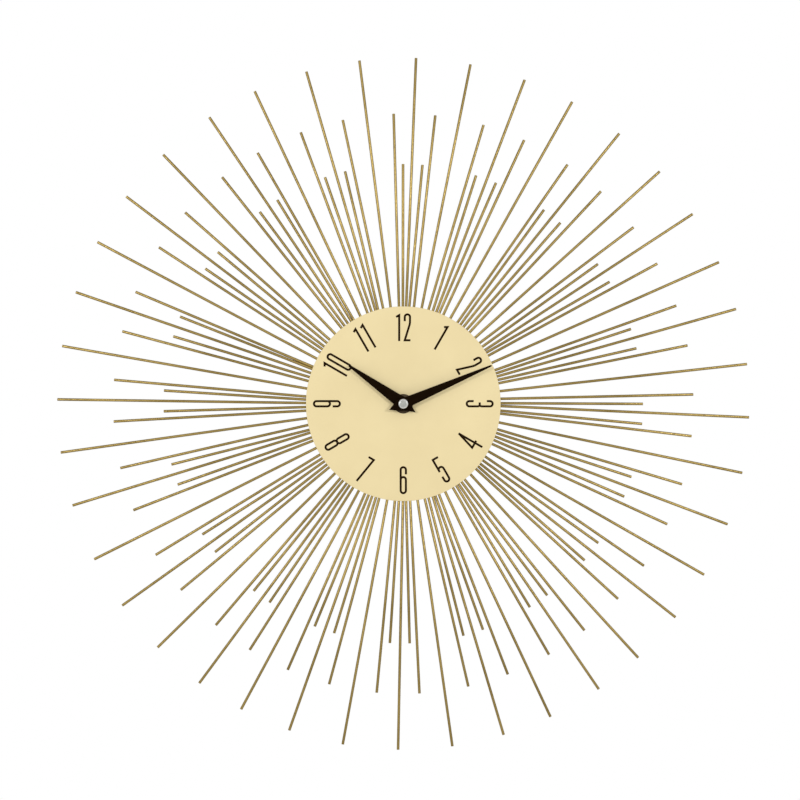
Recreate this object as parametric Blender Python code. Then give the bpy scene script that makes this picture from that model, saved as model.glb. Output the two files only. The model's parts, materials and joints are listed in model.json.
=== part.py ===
"""Sunburst wall clock with a quartz movement.

Frame: the clock faces -Y, +X is to its right as a viewer sees it, +Z is up. The origin is on the
axis of the hands, on the movement's back face, where the clock rests against a wall. Depths are
measured forward from that face, so a depth of 16 mm is y = -16 mm. Angles of the rods and of the
hands are clockwise from 12 o'clock, as the viewer sees them.

Lengths are in millimetres and are turned into metres as the vertices are made.
"""

import math
import random

import bmesh
import bpy
from mathutils import Matrix, Vector

MM = 0.001

# The burst of rods
FAN_COUNT = 20
FAN_PITCH_DEG = 360 / FAN_COUNT
ROD_RADIUS = 1.2
ROD_SIDES = 8
ROD_AXIS_DEPTH = 18.15
ROD_ROOT_RADIUS = 64.0
LONG_REACH = 305.0
MEDIUM_REACH = 255.8
SHORT_REACH = 211.3
SHORT_ROD_DEG = 2.68
SHORT_ROD_OFFSET = -0.7
MEDIUM_ROD_DEG = 4.04
MEDIUM_ROD_OFFSET = 0.6
BURST_TURN_DEG = 1.5
BURST_SWAY_DEG = 1.0
BURST_SWAY_TOWARD_DEG = 59.0
FAN_WANDER_DEG = 0.35
ROD_WANDER_DEG = 0.22
ROOT_SWIRL = -0.8
ROOT_WANDER = 0.7
WANDER_SEED = 20

# The straps that the rods are brazed to
STRAP_RADII = (66.0, 74.0)
STRAP_DEPTHS = (16.7, 17.5)
STRAP_TURNS_DEG = (-6.2, 9.8)
STRAP_STEPS = 5

# The dial and what clamps it
DIAL_RADIUS = 85.8
DIAL_BACK_DEPTH = 19.6
DIAL_THICKNESS = 1.2
DIAL_EDGE_CHAMFER = 0.3
SHAFT_HOLE_RADIUS = 4.25
HUB_OUTER_RADIUS = 80.0
HUB_THICKNESS = 1.2
HUB_BEND_SHIFT = 0.72
HUB_BOSS_FRONT_DEPTH = 19.4
HUB_BOSS_RADIUS = 49.0
HUB_FLANGE_FRONT_DEPTH = 16.5
HUB_FLANGE_RADIUS = 52.5
RUBBER_DEPTHS = (17.2, 18.0)
RUBBER_RADIUS = 9.0
WASHER_DEPTHS = (21.0, 21.8)
WASHER_RADIUS = 8.6
WASHER_CHAMFER = 0.25
NUT_DEPTHS = (22.0, 24.2)
NUT_ACROSS_FLATS = 11.0

# The hands, at ten past ten
MINUTE_ANGLE_DEG = 66.6
HOUR_ANGLE_DEG = 305.1
MINUTE_HAND = {"reach": 84.8, "tip": 1.6, "waist": 10.2, "waist_at": -4.3, "tail": 13.5}
HOUR_HAND = {"reach": 59.0, "tip": 1.9, "waist": 11.4, "waist_at": -0.6, "tail": 13.3}
HAND_THICKNESS = 0.5
HOUR_HAND_DEPTH = 25.6
MINUTE_HAND_DEPTH = 28.4
HOUR_HAND_FIT = 0.15
MINUTE_HAND_FIT = 0.12
CAP_DEPTHS = (29.1, 32.0)
CAP_RADIUS = 4.25
CAP_BEVEL = 0.8
CAP_BEVEL_DEPTH = 0.64
CAP_FRONT_WALL = 1.0

# The movement's case
CASE_HALF = 28.0
CASE_CORNER_RADIUS = 3.0
CASE_FRONT_DEPTH = 16.0
CASE_INNER_HALF = 26.8
CASE_INNER_FRONT_DEPTH = 14.6
BAY_TOP = -11.9
BAY_WALL_TOP = -10.9
BAY_WALL_ENDS = (-24.4, 24.9)
BAY_FRONT_DEPTH = 15.1
BACK_THICKNESS = 1.2
BACK_GAP = 0.2
TRAIN_PLATE_DEPTHS = (9.2, 9.9)
TRAIN_PLATE_CORNERS = ((-13.4, -9.0), (14.2, 18.6))
POST_RADIUS = 1.2
POST_ROOT = 0.4
BACK_POSTS = ((-25.3, 25.3), (25.3, 25.3), (25.3, -7.5), (-22.2, -8.0))
PLATE_POSTS = ((-11.5, -7.0), (-11.5, 16.8), (12.6, 17.0))
BUSH_HOLE_GAP = 0.2
FRONT_PIVOT_SEAT_DEPTH = 15.2
BACK_PIVOT_SEAT_DEPTH = 0.55
CENTRE_PIVOT_SEAT_DEPTH = 0.45
CENTRE_PIVOT_HOLE_RADIUS = 0.47
OVERCUT = 1.0

# The threaded bush
BUSH_RADIUS = 3.95
BUSH_BORE_RADIUS = 2.59
BUSH_FLANGE_RADIUS = 5.5
BUSH_FLANGE_DEPTHS = (13.5, 14.4)
BUSH_TIP_DEPTH = 25.0

# The wheels. A pair's distance is module * (teeth + teeth) / 2.
TRAIN_MODULE = 0.2
SETTING_MODULE = 0.375
HOUR_MODULE = 0.36
ROTOR_TEETH = 8
INTERMEDIATE_TEETH = (60, 15)
FOURTH_TEETH = (60, 8)
THIRD_TEETH = (60, 8)
CENTRE_TEETH = 64
CANNON_TEETH = 12
MOTION_TEETH = (36, 10)
HOUR_TEETH = 40
KNOB_TEETH = 18
THIRD_DIRECTION_DEG = 150.0
FOURTH_DIRECTION_DEG = 95.0
INTERMEDIATE_DIRECTION_DEG = 20.0
ROTOR_DIRECTION_DEG = -5.0
MOTION_DIRECTION_DEG = 0.0
KNOB_DIRECTION_DEG = -25.0

# The wheels' layers, from the back of each to its front
TRAIN_PIVOT_DEPTHS = (0.7, 9.7)
ROTOR_PINION_DEPTHS = (3.1, 4.8)
ROTOR_MAGNET_DEPTHS = (4.7, 7.4)
INTERMEDIATE_DEPTHS = (3.6, 4.1)
INTERMEDIATE_PINION_FRONT = 5.9
FOURTH_DEPTHS = (5.2, 5.7)
FOURTH_PINION_FRONT = 7.3
THIRD_DEPTHS = (6.6, 7.1)
THIRD_PINION_FRONT = 8.8
CENTRE_DEPTHS = (7.8, 8.5)
CANNON_DEPTHS = (10.2, 11.4)
MOTION_DEPTHS = (10.4, 11.2)
MOTION_PINION_DEPTHS = (11.1, 13.3)
MOTION_PIVOT_DEPTHS = (9.3, 15.0)
HOUR_DEPTHS = (12.3, 13.1)
HOUR_TUBE_DEPTHS = (12.1, 27.0)
LAYER_OVERLAP = 0.1

# The wheels' shafts, and the knob that sets the hands
PIVOT_RADIUS = 0.35
PIVOT_HOLE_RADIUS = 0.43
ARBOR_RADIUS = 0.7
ARBOR_HOLE_RADIUS = 0.78
CANNON_RADIUS = 1.45
CANNON_BORE_RADIUS = 1.55
HOUR_TUBE_RADIUS = 2.5
HOUR_DISC_HOLE_RADIUS = 1.85
CENTRE_PIVOT_RADIUS = 0.4
COLLAR_RADIUS = 1.3
MINUTE_ARBOR_STEPS = (
    (CENTRE_PIVOT_RADIUS, (0.6, 1.5)),
    (ARBOR_RADIUS, (1.5, 8.7)),
    (COLLAR_RADIUS, (8.7, 9.0)),
    (ARBOR_RADIUS, (9.0, 10.1)),
    (CANNON_RADIUS, (10.1, 30.6)),
)
KNOB_RADIUS = 4.6
KNOB_RIBS = 40
KNOB_GRIP_DEPTHS = (0.4, 2.5)
KNOB_SHAFT_RADIUS = 1.2
KNOB_SHAFT_GAP = 0.1
KNOB_SHAFT_DEPTHS = (2.4, 10.3)
KNOB_PIVOT_DEPTHS = (11.3, 15.0)
KNOB_WELL_RADIUS = 5.2
KNOB_WELL_WALL = 0.8
KNOB_WELL_DEPTH = 2.9
KNOB_WELL_FLOOR = 1.0

# The motor
ROTOR_MAGNET_RADIUS = 2.4
ROTOR_GAP_RADIUS = 2.85
STATOR_DEPTHS = (5.7, 6.5)
STATOR_POLE_END = 2.6
STATOR_POLE_HALF = 4.4
STATOR_SPINE = (7.0, 11.6)
STATOR_LEG_END = 23.0
STATOR_LOWER_LEG = (3.2, 5.4)
STATOR_UPPER_LEG = (24.4, 26.2)
COIL_X = 21.0
COIL_DEPTH = 7.1
COIL_HEIGHTS = (6.2, 23.8)
CORE_HALF_WIDTH = 1.0
CORE_HEIGHTS = (3.4, 26.0)
CORE_DEPTHS = (6.7, 7.5)
BOBBIN_FLANGE_RADIUS = 3.4
BOBBIN_FLANGE_THICKNESS = 0.8
BOBBIN_BARREL_RADIUS = 1.9
BOBBIN_BORE_GAP = 0.2
WINDING_RADII = (2.05, 2.9)
WINDING_END_GAP = 0.2

# The circuit board
BOARD_CORNERS = ((-26.4, 3.0), (-14.6, 23.5))
BOARD_DEPTHS = (5.0, 6.0)
CHIP_AT = (-20.5, 16.5)
CHIP_PROFILE = ((0.0, 6.2), (2.6, 6.2), (2.3, 6.9), (1.3, 7.4), (0.0, 7.5))
CRYSTAL_X = -18.0
CRYSTAL_DEPTH = 7.3
CRYSTAL_RADIUS = 1.0
CRYSTAL_END_CHAMFER = 0.2
CRYSTAL_HEIGHTS = (6.0, 12.0)

# The cell and its contacts
CELL_RADIUS = 7.1
CELL_END_RADIUS = 6.6
CELL_SHOULDER = 0.5
CELL_HEIGHT = -19.4
CELL_DEPTH = 7.7
CELL_ENDS = (-24.6, 24.0)
CELL_TERMINAL_RADIUS = 2.7
CELL_TERMINAL_END = 25.3
CONTACT_THICKNESS = 0.3
CONTACT_HEIGHTS = (-24.0, 2.7)
NEGATIVE_CONTACT_X = -25.2
NEGATIVE_CONTACT_DEPTHS = (5.2, 10.2)
POSITIVE_CONTACT_X = 25.7
POSITIVE_CONTACT_DEPTHS = (11.0, 13.6)
POSITIVE_RUN_HEIGHT = -10.5
POSITIVE_RISER_X = -18.0

# The hanger
HANGER_HALF_WIDTH = 9.0
HANGER_THICKNESS = 0.8
HANGER_FRONT_DEPTH = 17.0
HANGER_LOOP_DEPTH = 1.8
HANGER_FOOT = -9.0
HANGER_BEND_HEIGHT = 29.7
HANGER_LOOP_TOP = 41.0
HANGER_CORNER_CUT = 4.5
LOOP_HALF_WIDTH = 4.0
LOOP_HEIGHTS = (32.0, 35.5, 38.2)
LOOP_NOTCH_HALF_WIDTH = 1.5

# Teeth. Heights are in modules, and a pinion tooth's widths are shares of the pitch.
TOOTH_ADDENDUM = 0.8
PINION_DEDENDUM = 1.15
WHEEL_DEDENDUM = 1.3
PINION_ROOT_SHARE = 0.40
PINION_TIP_SHARE = 0.10


# Materials


def principled(name, colour, roughness, metallic=0.0):
    material = bpy.data.materials.new(name)
    material.use_nodes = True
    shader = material.node_tree.nodes["Principled BSDF"]
    shader.inputs["Base Color"].default_value = (*colour, 1.0)
    shader.inputs["Roughness"].default_value = roughness
    shader.inputs["Metallic"].default_value = metallic
    return material


def make_materials():
    return {
        "rods": principled("antique_gold_rods", (0.35, 0.27, 0.12), 0.4, 0.9),
        "dial": principled("pale_gold_dial", (0.86, 0.74, 0.43), 0.45, 0.3),
        "hub": principled("gold_sheet", (0.35, 0.27, 0.12), 0.45, 0.9),
        "hands": principled("black_hands", (0.012, 0.010, 0.009), 0.45),
        "dark_metal": principled("dark_bronze", (0.10, 0.075, 0.05), 0.35, 0.9),
        "cap": principled("satin_silver", (0.62, 0.62, 0.60), 0.3, 1.0),
        "brass": principled("brass", (0.65, 0.48, 0.20), 0.3, 1.0),
        "rubber": principled("black_rubber", (0.03, 0.03, 0.03), 0.85),
        "case": principled("black_plastic", (0.02, 0.02, 0.022), 0.5),
        "wheel": principled("natural_plastic", (0.75, 0.73, 0.66), 0.45),
        "knob": principled("grey_plastic", (0.12, 0.12, 0.13), 0.5),
        "spring_steel": principled("spring_steel", (0.6, 0.6, 0.58), 0.3, 1.0),
        "magnet_steel": principled("lamination_steel", (0.4, 0.4, 0.4), 0.45, 1.0),
        "copper": principled("enamelled_copper", (0.55, 0.22, 0.08), 0.35, 0.9),
        "board": principled("circuit_board_green", (0.03, 0.16, 0.06), 0.45),
        "chip": principled("chip_resin", (0.01, 0.01, 0.01), 0.35),
        "cell": principled("cell_sleeve", (0.10, 0.10, 0.11), 0.35, 0.2),
    }


# Outlines, as (x, z) points, anticlockwise as the viewer sees them


def polar(angle_deg, distance):
    """The point at this distance in the direction measured anticlockwise from +X."""
    angle = math.radians(angle_deg)
    return (distance * math.cos(angle), distance * math.sin(angle))


def clock_polar(angle_deg, distance):
    """The point at this distance in the direction measured clockwise from 12 o'clock."""
    return polar(90.0 - angle_deg, distance)


def circle(radius, sides, centre=(0.0, 0.0)):
    turns = [polar(360.0 * k / sides, radius) for k in range(sides)]
    return [(centre[0] + x, centre[1] + z) for x, z in turns]


def rectangle(low, high):
    return [(low[0], low[1]), (high[0], low[1]), (high[0], high[1]), (low[0], high[1])]


def rounded_square(half, corner, steps=3):
    points = []
    inner = half - corner
    for quarter, (sx, sz) in enumerate(((1, 1), (-1, 1), (-1, -1), (1, -1))):
        for k in range(steps + 1):
            x, z = polar(90.0 * (quarter + k / steps), corner)
            points.append((sx * inner + x, sz * inner + z))
    return points


def pinion_outline(teeth, module, phase_deg):
    """Straight-sided teeth, the first of which points along phase_deg."""
    pitch_radius = module * teeth / 2
    root_radius = pitch_radius - PINION_DEDENDUM * module
    tip_radius = pitch_radius + TOOTH_ADDENDUM * module
    half_root = math.degrees(PINION_ROOT_SHARE * math.pi * module / 2 / root_radius)
    half_tip = math.degrees(PINION_TIP_SHARE * math.pi * module / 2 / tip_radius)
    points = []
    for k in range(teeth):
        middle = phase_deg + 360.0 * k / teeth
        points.append(polar(middle - half_root, root_radius))
        points.append(polar(middle - half_tip, tip_radius))
        points.append(polar(middle + half_tip, tip_radius))
        points.append(polar(middle + half_root, root_radius))
    return points


def wheel_outline(teeth, module, phase_deg):
    """Pointed teeth, the first of which points along phase_deg."""
    pitch_radius = module * teeth / 2
    points = []
    for k in range(teeth):
        middle = phase_deg + 360.0 * k / teeth
        points.append(polar(middle - 180.0 / teeth, pitch_radius - WHEEL_DEDENDUM * module))
        points.append(polar(middle, pitch_radius + TOOTH_ADDENDUM * module))
    return points


def hand_outline(hand):
    """A long dagger that points up, widest near the hub, with a short pointed tail."""
    half_tip = hand["tip"] / 2
    half_waist = hand["waist"] / 2
    return [
        (0.0, -hand["tail"]),
        (half_waist, hand["waist_at"]),
        (half_tip, hand["reach"] - half_tip),
        (0.0, hand["reach"]),
        (-half_tip, hand["reach"] - half_tip),
        (-half_waist, hand["waist_at"]),
    ]


def turned_outline(points, clockwise_deg):
    """The outline turned about the origin, clockwise as the viewer sees it."""
    angle = math.radians(clockwise_deg)
    c, s = math.cos(angle), math.sin(angle)
    return [(x * c + z * s, z * c - x * s) for x, z in points]


# Meshes


def finish_mesh(bm, name):
    bmesh.ops.recalc_face_normals(bm, faces=bm.faces)
    mesh = bpy.data.meshes.new(name)
    bm.to_mesh(mesh)
    bm.free()
    return mesh


def prism(outlines, back_depth, front_depth, name="prism"):
    """A plate between two depths. The first outline is its edge and the others are its holes."""
    bm = bmesh.new()
    front_rings = []
    for outline in outlines:
        front_rings.append([bm.verts.new(Vector((x, -front_depth, z)) * MM) for x, z in outline])
    edges = []
    for ring in front_rings:
        for k, vert in enumerate(ring):
            edges.append(bm.edges.new((vert, ring[(k + 1) % len(ring)])))
    if len(outlines) == 1:
        faces = [bm.faces.new(front_rings[0])]
    else:
        filled = bmesh.ops.triangle_fill(bm, use_beauty=True, edges=edges)
        faces = [part for part in filled["geom"] if isinstance(part, bmesh.types.BMFace)]
    to_back = {}
    shift = Vector((0.0, front_depth - back_depth, 0.0)) * MM
    for ring in front_rings:
        for vert in ring:
            to_back[vert] = bm.verts.new(vert.co + shift)
    for face in faces:
        bm.faces.new([to_back[vert] for vert in reversed(face.verts)])
    for ring in front_rings:
        for k, vert in enumerate(ring):
            after = ring[(k + 1) % len(ring)]
            bm.faces.new((vert, after, to_back[after], to_back[vert]))
    return finish_mesh(bm, name)


def turned(profile, sides, closed=False, name="turned"):
    """A solid of revolution about the depth axis from (radius, depth) points.

    A closed profile goes round a hollow piece. An open one starts and ends on the axis.
    """
    bm = bmesh.new()
    rings = []
    for radius, depth in profile:
        if radius == 0.0:
            rings.append([bm.verts.new(Vector((0.0, -depth, 0.0)) * MM)])
        else:
            points = circle(radius, sides)
            rings.append([bm.verts.new(Vector((x, -depth, z)) * MM) for x, z in points])
    pairs = list(zip(rings, rings[1:]))
    if closed:
        pairs.append((rings[-1], rings[0]))
    for one, two in pairs:
        for k in range(sides):
            after = (k + 1) % sides
            if len(one) == 1:
                bm.faces.new((one[0], two[after], two[k]))
            elif len(two) == 1:
                bm.faces.new((one[k], one[after], two[0]))
            else:
                bm.faces.new((one[k], one[after], two[after], two[k]))
    return finish_mesh(bm, name)


def moved(mesh, matrix):
    mesh.transform(matrix)
    if matrix.determinant() < 0:
        mesh.flip_normals()
    return mesh


def shifted(mesh, x=0.0, depth=0.0, z=0.0):
    return moved(mesh, Matrix.Translation(Vector((x, -depth, z)) * MM))


def along_x(mesh):
    """Turns a piece's depth axis, front end first, to +X."""
    return moved(mesh, Matrix.Rotation(math.radians(90.0), 4, "Z"))


def along_z(mesh):
    """Turns a piece's depth axis, front end first, to +Z."""
    return moved(mesh, Matrix.Rotation(math.radians(-90.0), 4, "X"))


def combined(first, others, operation):
    """The exact Boolean of the first mesh with each of the others in turn."""
    result = first
    for other in others:
        base = bpy.data.objects.new("base", result)
        tool = bpy.data.objects.new("tool", other)
        bpy.context.scene.collection.objects.link(base)
        bpy.context.scene.collection.objects.link(tool)
        boolean = base.modifiers.new("boolean", "BOOLEAN")
        boolean.operation = operation
        boolean.solver = "EXACT"
        boolean.object = tool
        graph = bpy.context.evaluated_depsgraph_get()
        result = bpy.data.meshes.new_from_object(base.evaluated_get(graph))
        bpy.data.objects.remove(base)
        bpy.data.objects.remove(tool)
    return result


def joined(first, *others):
    return combined(first, others, "UNION")


def cut(first, *others):
    return combined(first, others, "DIFFERENCE")


def rod_mesh(start, end, depth, radius, sides):
    """A round rod between two (x, z) points at one depth."""
    span = Vector((end[0] - start[0], 0.0, end[1] - start[1]))
    mesh = prism([circle(radius, sides)], 0.0, span.length)
    turn = Vector((0.0, -1.0, 0.0)).rotation_difference(span).to_matrix().to_4x4()
    place = Matrix.Translation(Vector((start[0], -depth, start[1])) * MM)
    return moved(mesh, place @ turn)


def add_part(name, mesh, material, at=(0.0, 0.0)):
    """Adds a named piece. A piece that turns stands at the (x, z) of its own axis."""
    mesh.name = name
    mesh.materials.clear()
    mesh.materials.append(material)
    mesh.shade_smooth()
    mesh.set_sharp_from_angle(angle=math.radians(35.0))
    part = bpy.data.objects.new(name, mesh)
    bpy.context.scene.collection.objects.link(part)
    part.location = Vector((at[0], 0.0, at[1])) * MM
    return part


def clear_scene():
    for old in list(bpy.data.objects):
        bpy.data.objects.remove(old)


# The burst


def fan_directions(wander):
    """Each fan's direction: an even pitch, a slow sway round the burst and a little wander."""
    directions = []
    for k in range(FAN_COUNT):
        even = FAN_PITCH_DEG * k
        sway = BURST_SWAY_DEG * math.cos(math.radians(even - BURST_SWAY_TOWARD_DEG))
        off = wander.uniform(-FAN_WANDER_DEG, FAN_WANDER_DEG)
        directions.append(even + BURST_TURN_DEG + sway + off)
    return directions


def rod_ends(direction_deg, reach, offset, root_shift):
    """Both ends of a rod, set off sideways from the centre and a little further at its root."""
    ends = []
    for distance, aside in ((ROD_ROOT_RADIUS, offset + root_shift), (reach, offset)):
        along = clock_polar(direction_deg, distance)
        across = clock_polar(direction_deg + 90.0, aside)
        ends.append((along[0] + across[0], along[1] + across[1]))
    return ends


def fan_rods(direction_deg, wander):
    """Both ends of each of the five rods of a fan and of the lone one beside it."""
    layout = (
        (-MEDIUM_ROD_DEG, MEDIUM_REACH, -MEDIUM_ROD_OFFSET),
        (-SHORT_ROD_DEG, SHORT_REACH, -SHORT_ROD_OFFSET),
        (0.0, LONG_REACH, 0.0),
        (SHORT_ROD_DEG, SHORT_REACH, SHORT_ROD_OFFSET),
        (MEDIUM_ROD_DEG, MEDIUM_REACH, MEDIUM_ROD_OFFSET),
        (FAN_PITCH_DEG / 2, LONG_REACH, 0.0),
    )
    rods = []
    for turn, reach, offset in layout:
        off = wander.uniform(-ROD_WANDER_DEG, ROD_WANDER_DEG)
        root_shift = ROOT_SWIRL + wander.uniform(-ROOT_WANDER, ROOT_WANDER)
        rods.append(rod_ends(direction_deg + turn + off, reach, offset, root_shift))
    return rods


def strap_mesh(direction_deg):
    """The flat curved strap behind the roots of one fan."""
    inner_radius, outer_radius = STRAP_RADII
    start, end = STRAP_TURNS_DEG
    turns = [direction_deg + start + (end - start) * k / STRAP_STEPS for k in range(STRAP_STEPS + 1)]
    outer = [clock_polar(turn, outer_radius) for turn in turns]
    inner = [clock_polar(turn, inner_radius) for turn in reversed(turns)]
    return prism([outer + inner], *STRAP_DEPTHS)


def add_burst(materials):
    wander = random.Random(WANDER_SEED)
    for number, direction in enumerate(fan_directions(wander), start=1):
        rods = []
        for start, end in fan_rods(direction, wander):
            rods.append(rod_mesh(start, end, ROD_AXIS_DEPTH, ROD_RADIUS, ROD_SIDES))
        fan = joined(strap_mesh(direction), *rods)
        add_part(f"ray_fan_{number:02d}", fan, materials["rods"])


# The dial and its clamp


def add_dial(materials):
    front = DIAL_BACK_DEPTH + DIAL_THICKNESS
    profile = [
        (SHAFT_HOLE_RADIUS, DIAL_BACK_DEPTH),
        (DIAL_RADIUS, DIAL_BACK_DEPTH),
        (DIAL_RADIUS, front - DIAL_EDGE_CHAMFER),
        (DIAL_RADIUS - DIAL_EDGE_CHAMFER, front),
        (SHAFT_HOLE_RADIUS, front),
    ]
    add_part("dial", turned(profile, 72, closed=True), materials["dial"])


def add_hub_plate(materials):
    boss_back = HUB_BOSS_FRONT_DEPTH - HUB_THICKNESS
    flange_back = HUB_FLANGE_FRONT_DEPTH - HUB_THICKNESS
    profile = [
        (SHAFT_HOLE_RADIUS, boss_back),
        (HUB_BOSS_RADIUS, boss_back),
        (HUB_FLANGE_RADIUS, flange_back),
        (HUB_OUTER_RADIUS, flange_back),
        (HUB_OUTER_RADIUS, HUB_FLANGE_FRONT_DEPTH),
        (HUB_FLANGE_RADIUS + HUB_BEND_SHIFT, HUB_FLANGE_FRONT_DEPTH),
        (HUB_BOSS_RADIUS + HUB_BEND_SHIFT, HUB_BOSS_FRONT_DEPTH),
        (SHAFT_HOLE_RADIUS, HUB_BOSS_FRONT_DEPTH),
    ]
    add_part("hub_plate", turned(profile, 48, closed=True), materials["hub"])


def ring_profile(inner, outer, depths, chamfer=0.0):
    profile = [(inner, depths[0]), (outer, depths[0])]
    if chamfer:
        profile += [(outer, depths[1] - chamfer), (outer - chamfer, depths[1])]
    else:
        profile += [(outer, depths[1])]
    return profile + [(inner, depths[1])]


def add_clamp(materials):
    rubber = turned(ring_profile(SHAFT_HOLE_RADIUS, RUBBER_RADIUS, RUBBER_DEPTHS), 24, closed=True)
    add_part("rubber_washer", rubber, materials["rubber"])
    washer = ring_profile(SHAFT_HOLE_RADIUS, WASHER_RADIUS, WASHER_DEPTHS, WASHER_CHAMFER)
    add_part("dial_washer", turned(washer, 32, closed=True), materials["dark_metal"])
    corner = NUT_ACROSS_FLATS / 2 / math.cos(math.radians(30.0))
    nut = prism([circle(corner, 6), circle(SHAFT_HOLE_RADIUS, 24)], *NUT_DEPTHS)
    add_part("hex_nut", nut, materials["dark_metal"])
    bush = [
        (BUSH_BORE_RADIUS, BUSH_FLANGE_DEPTHS[0]),
        (BUSH_FLANGE_RADIUS, BUSH_FLANGE_DEPTHS[0]),
        (BUSH_FLANGE_RADIUS, BUSH_FLANGE_DEPTHS[1]),
        (BUSH_RADIUS, BUSH_FLANGE_DEPTHS[1]),
        (BUSH_RADIUS, BUSH_TIP_DEPTH),
        (BUSH_BORE_RADIUS, BUSH_TIP_DEPTH),
    ]
    add_part("threaded_bush", turned(bush, 24, closed=True), materials["brass"])


# The hands


def add_hand(name, hand, angle_deg, depth, hole_radius, material):
    outline = turned_outline(hand_outline(hand), angle_deg)
    mesh = prism([outline, circle(hole_radius, 20)], depth, depth + HAND_THICKNESS)
    add_part(name, mesh, material)


def add_hands(materials):
    black = materials["hands"]
    hour_hole = HOUR_TUBE_RADIUS + HOUR_HAND_FIT
    minute_hole = CANNON_RADIUS + MINUTE_HAND_FIT
    add_hand("hour_hand", HOUR_HAND, HOUR_ANGLE_DEG, HOUR_HAND_DEPTH, hour_hole, black)
    add_hand("minute_hand", MINUTE_HAND, MINUTE_ANGLE_DEG, MINUTE_HAND_DEPTH, minute_hole, black)
    back, front = CAP_DEPTHS
    profile = [
        (0.0, front),
        (CAP_RADIUS - CAP_BEVEL, front),
        (CAP_RADIUS, front - CAP_BEVEL_DEPTH),
        (CAP_RADIUS, back),
        (minute_hole, back),
        (minute_hole, front - CAP_FRONT_WALL),
        (0.0, front - CAP_FRONT_WALL),
    ]
    add_part("centre_cap", turned(profile, 32), materials["cap"])


# The wheels


def pair_distance(module, one, two):
    return module * (one + two) / 2


def beyond(point, direction_deg, distance):
    step = polar(direction_deg, distance)
    return (point[0] + step[0], point[1] + step[1])


def mesh_phase(direction_deg, teeth, phase_deg, mate_teeth):
    """The phase of the mating wheel, in the given direction, whose gap takes this one's tooth."""
    lead = teeth * (phase_deg - direction_deg)
    return direction_deg + 180.0 + (180.0 - lead) / mate_teeth


def pinion(teeth, module, phase_deg, depths):
    return prism([pinion_outline(teeth, module, phase_deg)], *depths)


def arbor(radius, depths, sides=8):
    return prism([circle(radius, sides)], *depths)


def train_positions():
    """Where each wheel's axis stands, as (x, z)."""
    motion_distance = pair_distance(SETTING_MODULE, CANNON_TEETH, MOTION_TEETH[0])
    knob_distance = pair_distance(SETTING_MODULE, MOTION_TEETH[0], KNOB_TEETH)
    at = {"centre": (0.0, 0.0)}
    centre_step = pair_distance(TRAIN_MODULE, CENTRE_TEETH, THIRD_TEETH[1])
    at["third"] = beyond(at["centre"], THIRD_DIRECTION_DEG, centre_step)
    third_step = pair_distance(TRAIN_MODULE, THIRD_TEETH[0], FOURTH_TEETH[1])
    at["fourth"] = beyond(at["third"], FOURTH_DIRECTION_DEG, third_step)
    fourth_step = pair_distance(TRAIN_MODULE, FOURTH_TEETH[0], INTERMEDIATE_TEETH[1])
    at["intermediate"] = beyond(at["fourth"], INTERMEDIATE_DIRECTION_DEG, fourth_step)
    rotor_step = pair_distance(TRAIN_MODULE, INTERMEDIATE_TEETH[0], ROTOR_TEETH)
    at["rotor"] = beyond(at["intermediate"], ROTOR_DIRECTION_DEG, rotor_step)
    at["motion"] = beyond(at["centre"], MOTION_DIRECTION_DEG, motion_distance)
    at["knob"] = beyond(at["motion"], KNOB_DIRECTION_DEG, knob_distance)
    return at


def add_train_wheel(name, at, teeth, phases, depths, pinion_front, material):
    """A wheel with its pinion in front of it, on one arbor."""
    large = prism([wheel_outline(teeth[0], TRAIN_MODULE, phases[0])], *depths)
    pinion_depths = (depths[1] - LAYER_OVERLAP, pinion_front)
    small = pinion(teeth[1], TRAIN_MODULE, phases[1], pinion_depths)
    mesh = joined(large, small, arbor(PIVOT_RADIUS, TRAIN_PIVOT_DEPTHS))
    add_part(name, mesh, material, at=at)


def add_rotor(at, materials, phase):
    rotor = joined(
        arbor(ROTOR_MAGNET_RADIUS, ROTOR_MAGNET_DEPTHS, sides=20),
        pinion(ROTOR_TEETH, TRAIN_MODULE, phase, ROTOR_PINION_DEPTHS),
        arbor(PIVOT_RADIUS, TRAIN_PIVOT_DEPTHS),
    )
    add_part("rotor", rotor, materials["magnet_steel"], at=at)


def add_going_train(at, materials):
    """Rotor, intermediate, fourth, third and centre wheels, each in mesh with the next."""
    white = materials["wheel"]
    to_intermediate = ROTOR_DIRECTION_DEG + 180.0
    to_fourth = INTERMEDIATE_DIRECTION_DEG + 180.0
    to_third = FOURTH_DIRECTION_DEG + 180.0
    to_centre = THIRD_DIRECTION_DEG + 180.0
    add_rotor(at["rotor"], materials, to_intermediate)
    phase = mesh_phase(to_intermediate, ROTOR_TEETH, to_intermediate, INTERMEDIATE_TEETH[0])
    add_train_wheel(
        "intermediate_wheel", at["intermediate"], INTERMEDIATE_TEETH, (phase, to_fourth),
        INTERMEDIATE_DEPTHS, INTERMEDIATE_PINION_FRONT, white,
    )
    phase = mesh_phase(to_fourth, INTERMEDIATE_TEETH[1], to_fourth, FOURTH_TEETH[0])
    add_train_wheel(
        "fourth_wheel", at["fourth"], FOURTH_TEETH, (phase, to_third),
        FOURTH_DEPTHS, FOURTH_PINION_FRONT, white,
    )
    phase = mesh_phase(to_third, FOURTH_TEETH[1], to_third, THIRD_TEETH[0])
    add_train_wheel(
        "third_wheel", at["third"], THIRD_TEETH, (phase, to_centre),
        THIRD_DEPTHS, THIRD_PINION_FRONT, white,
    )
    phase = mesh_phase(to_centre, THIRD_TEETH[1], to_centre, CENTRE_TEETH)
    rim = wheel_outline(CENTRE_TEETH, TRAIN_MODULE, phase)
    centre = prism([rim, circle(ARBOR_HOLE_RADIUS, 16)], *CENTRE_DEPTHS)
    add_part("centre_wheel", centre, white, at=at["centre"])


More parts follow.
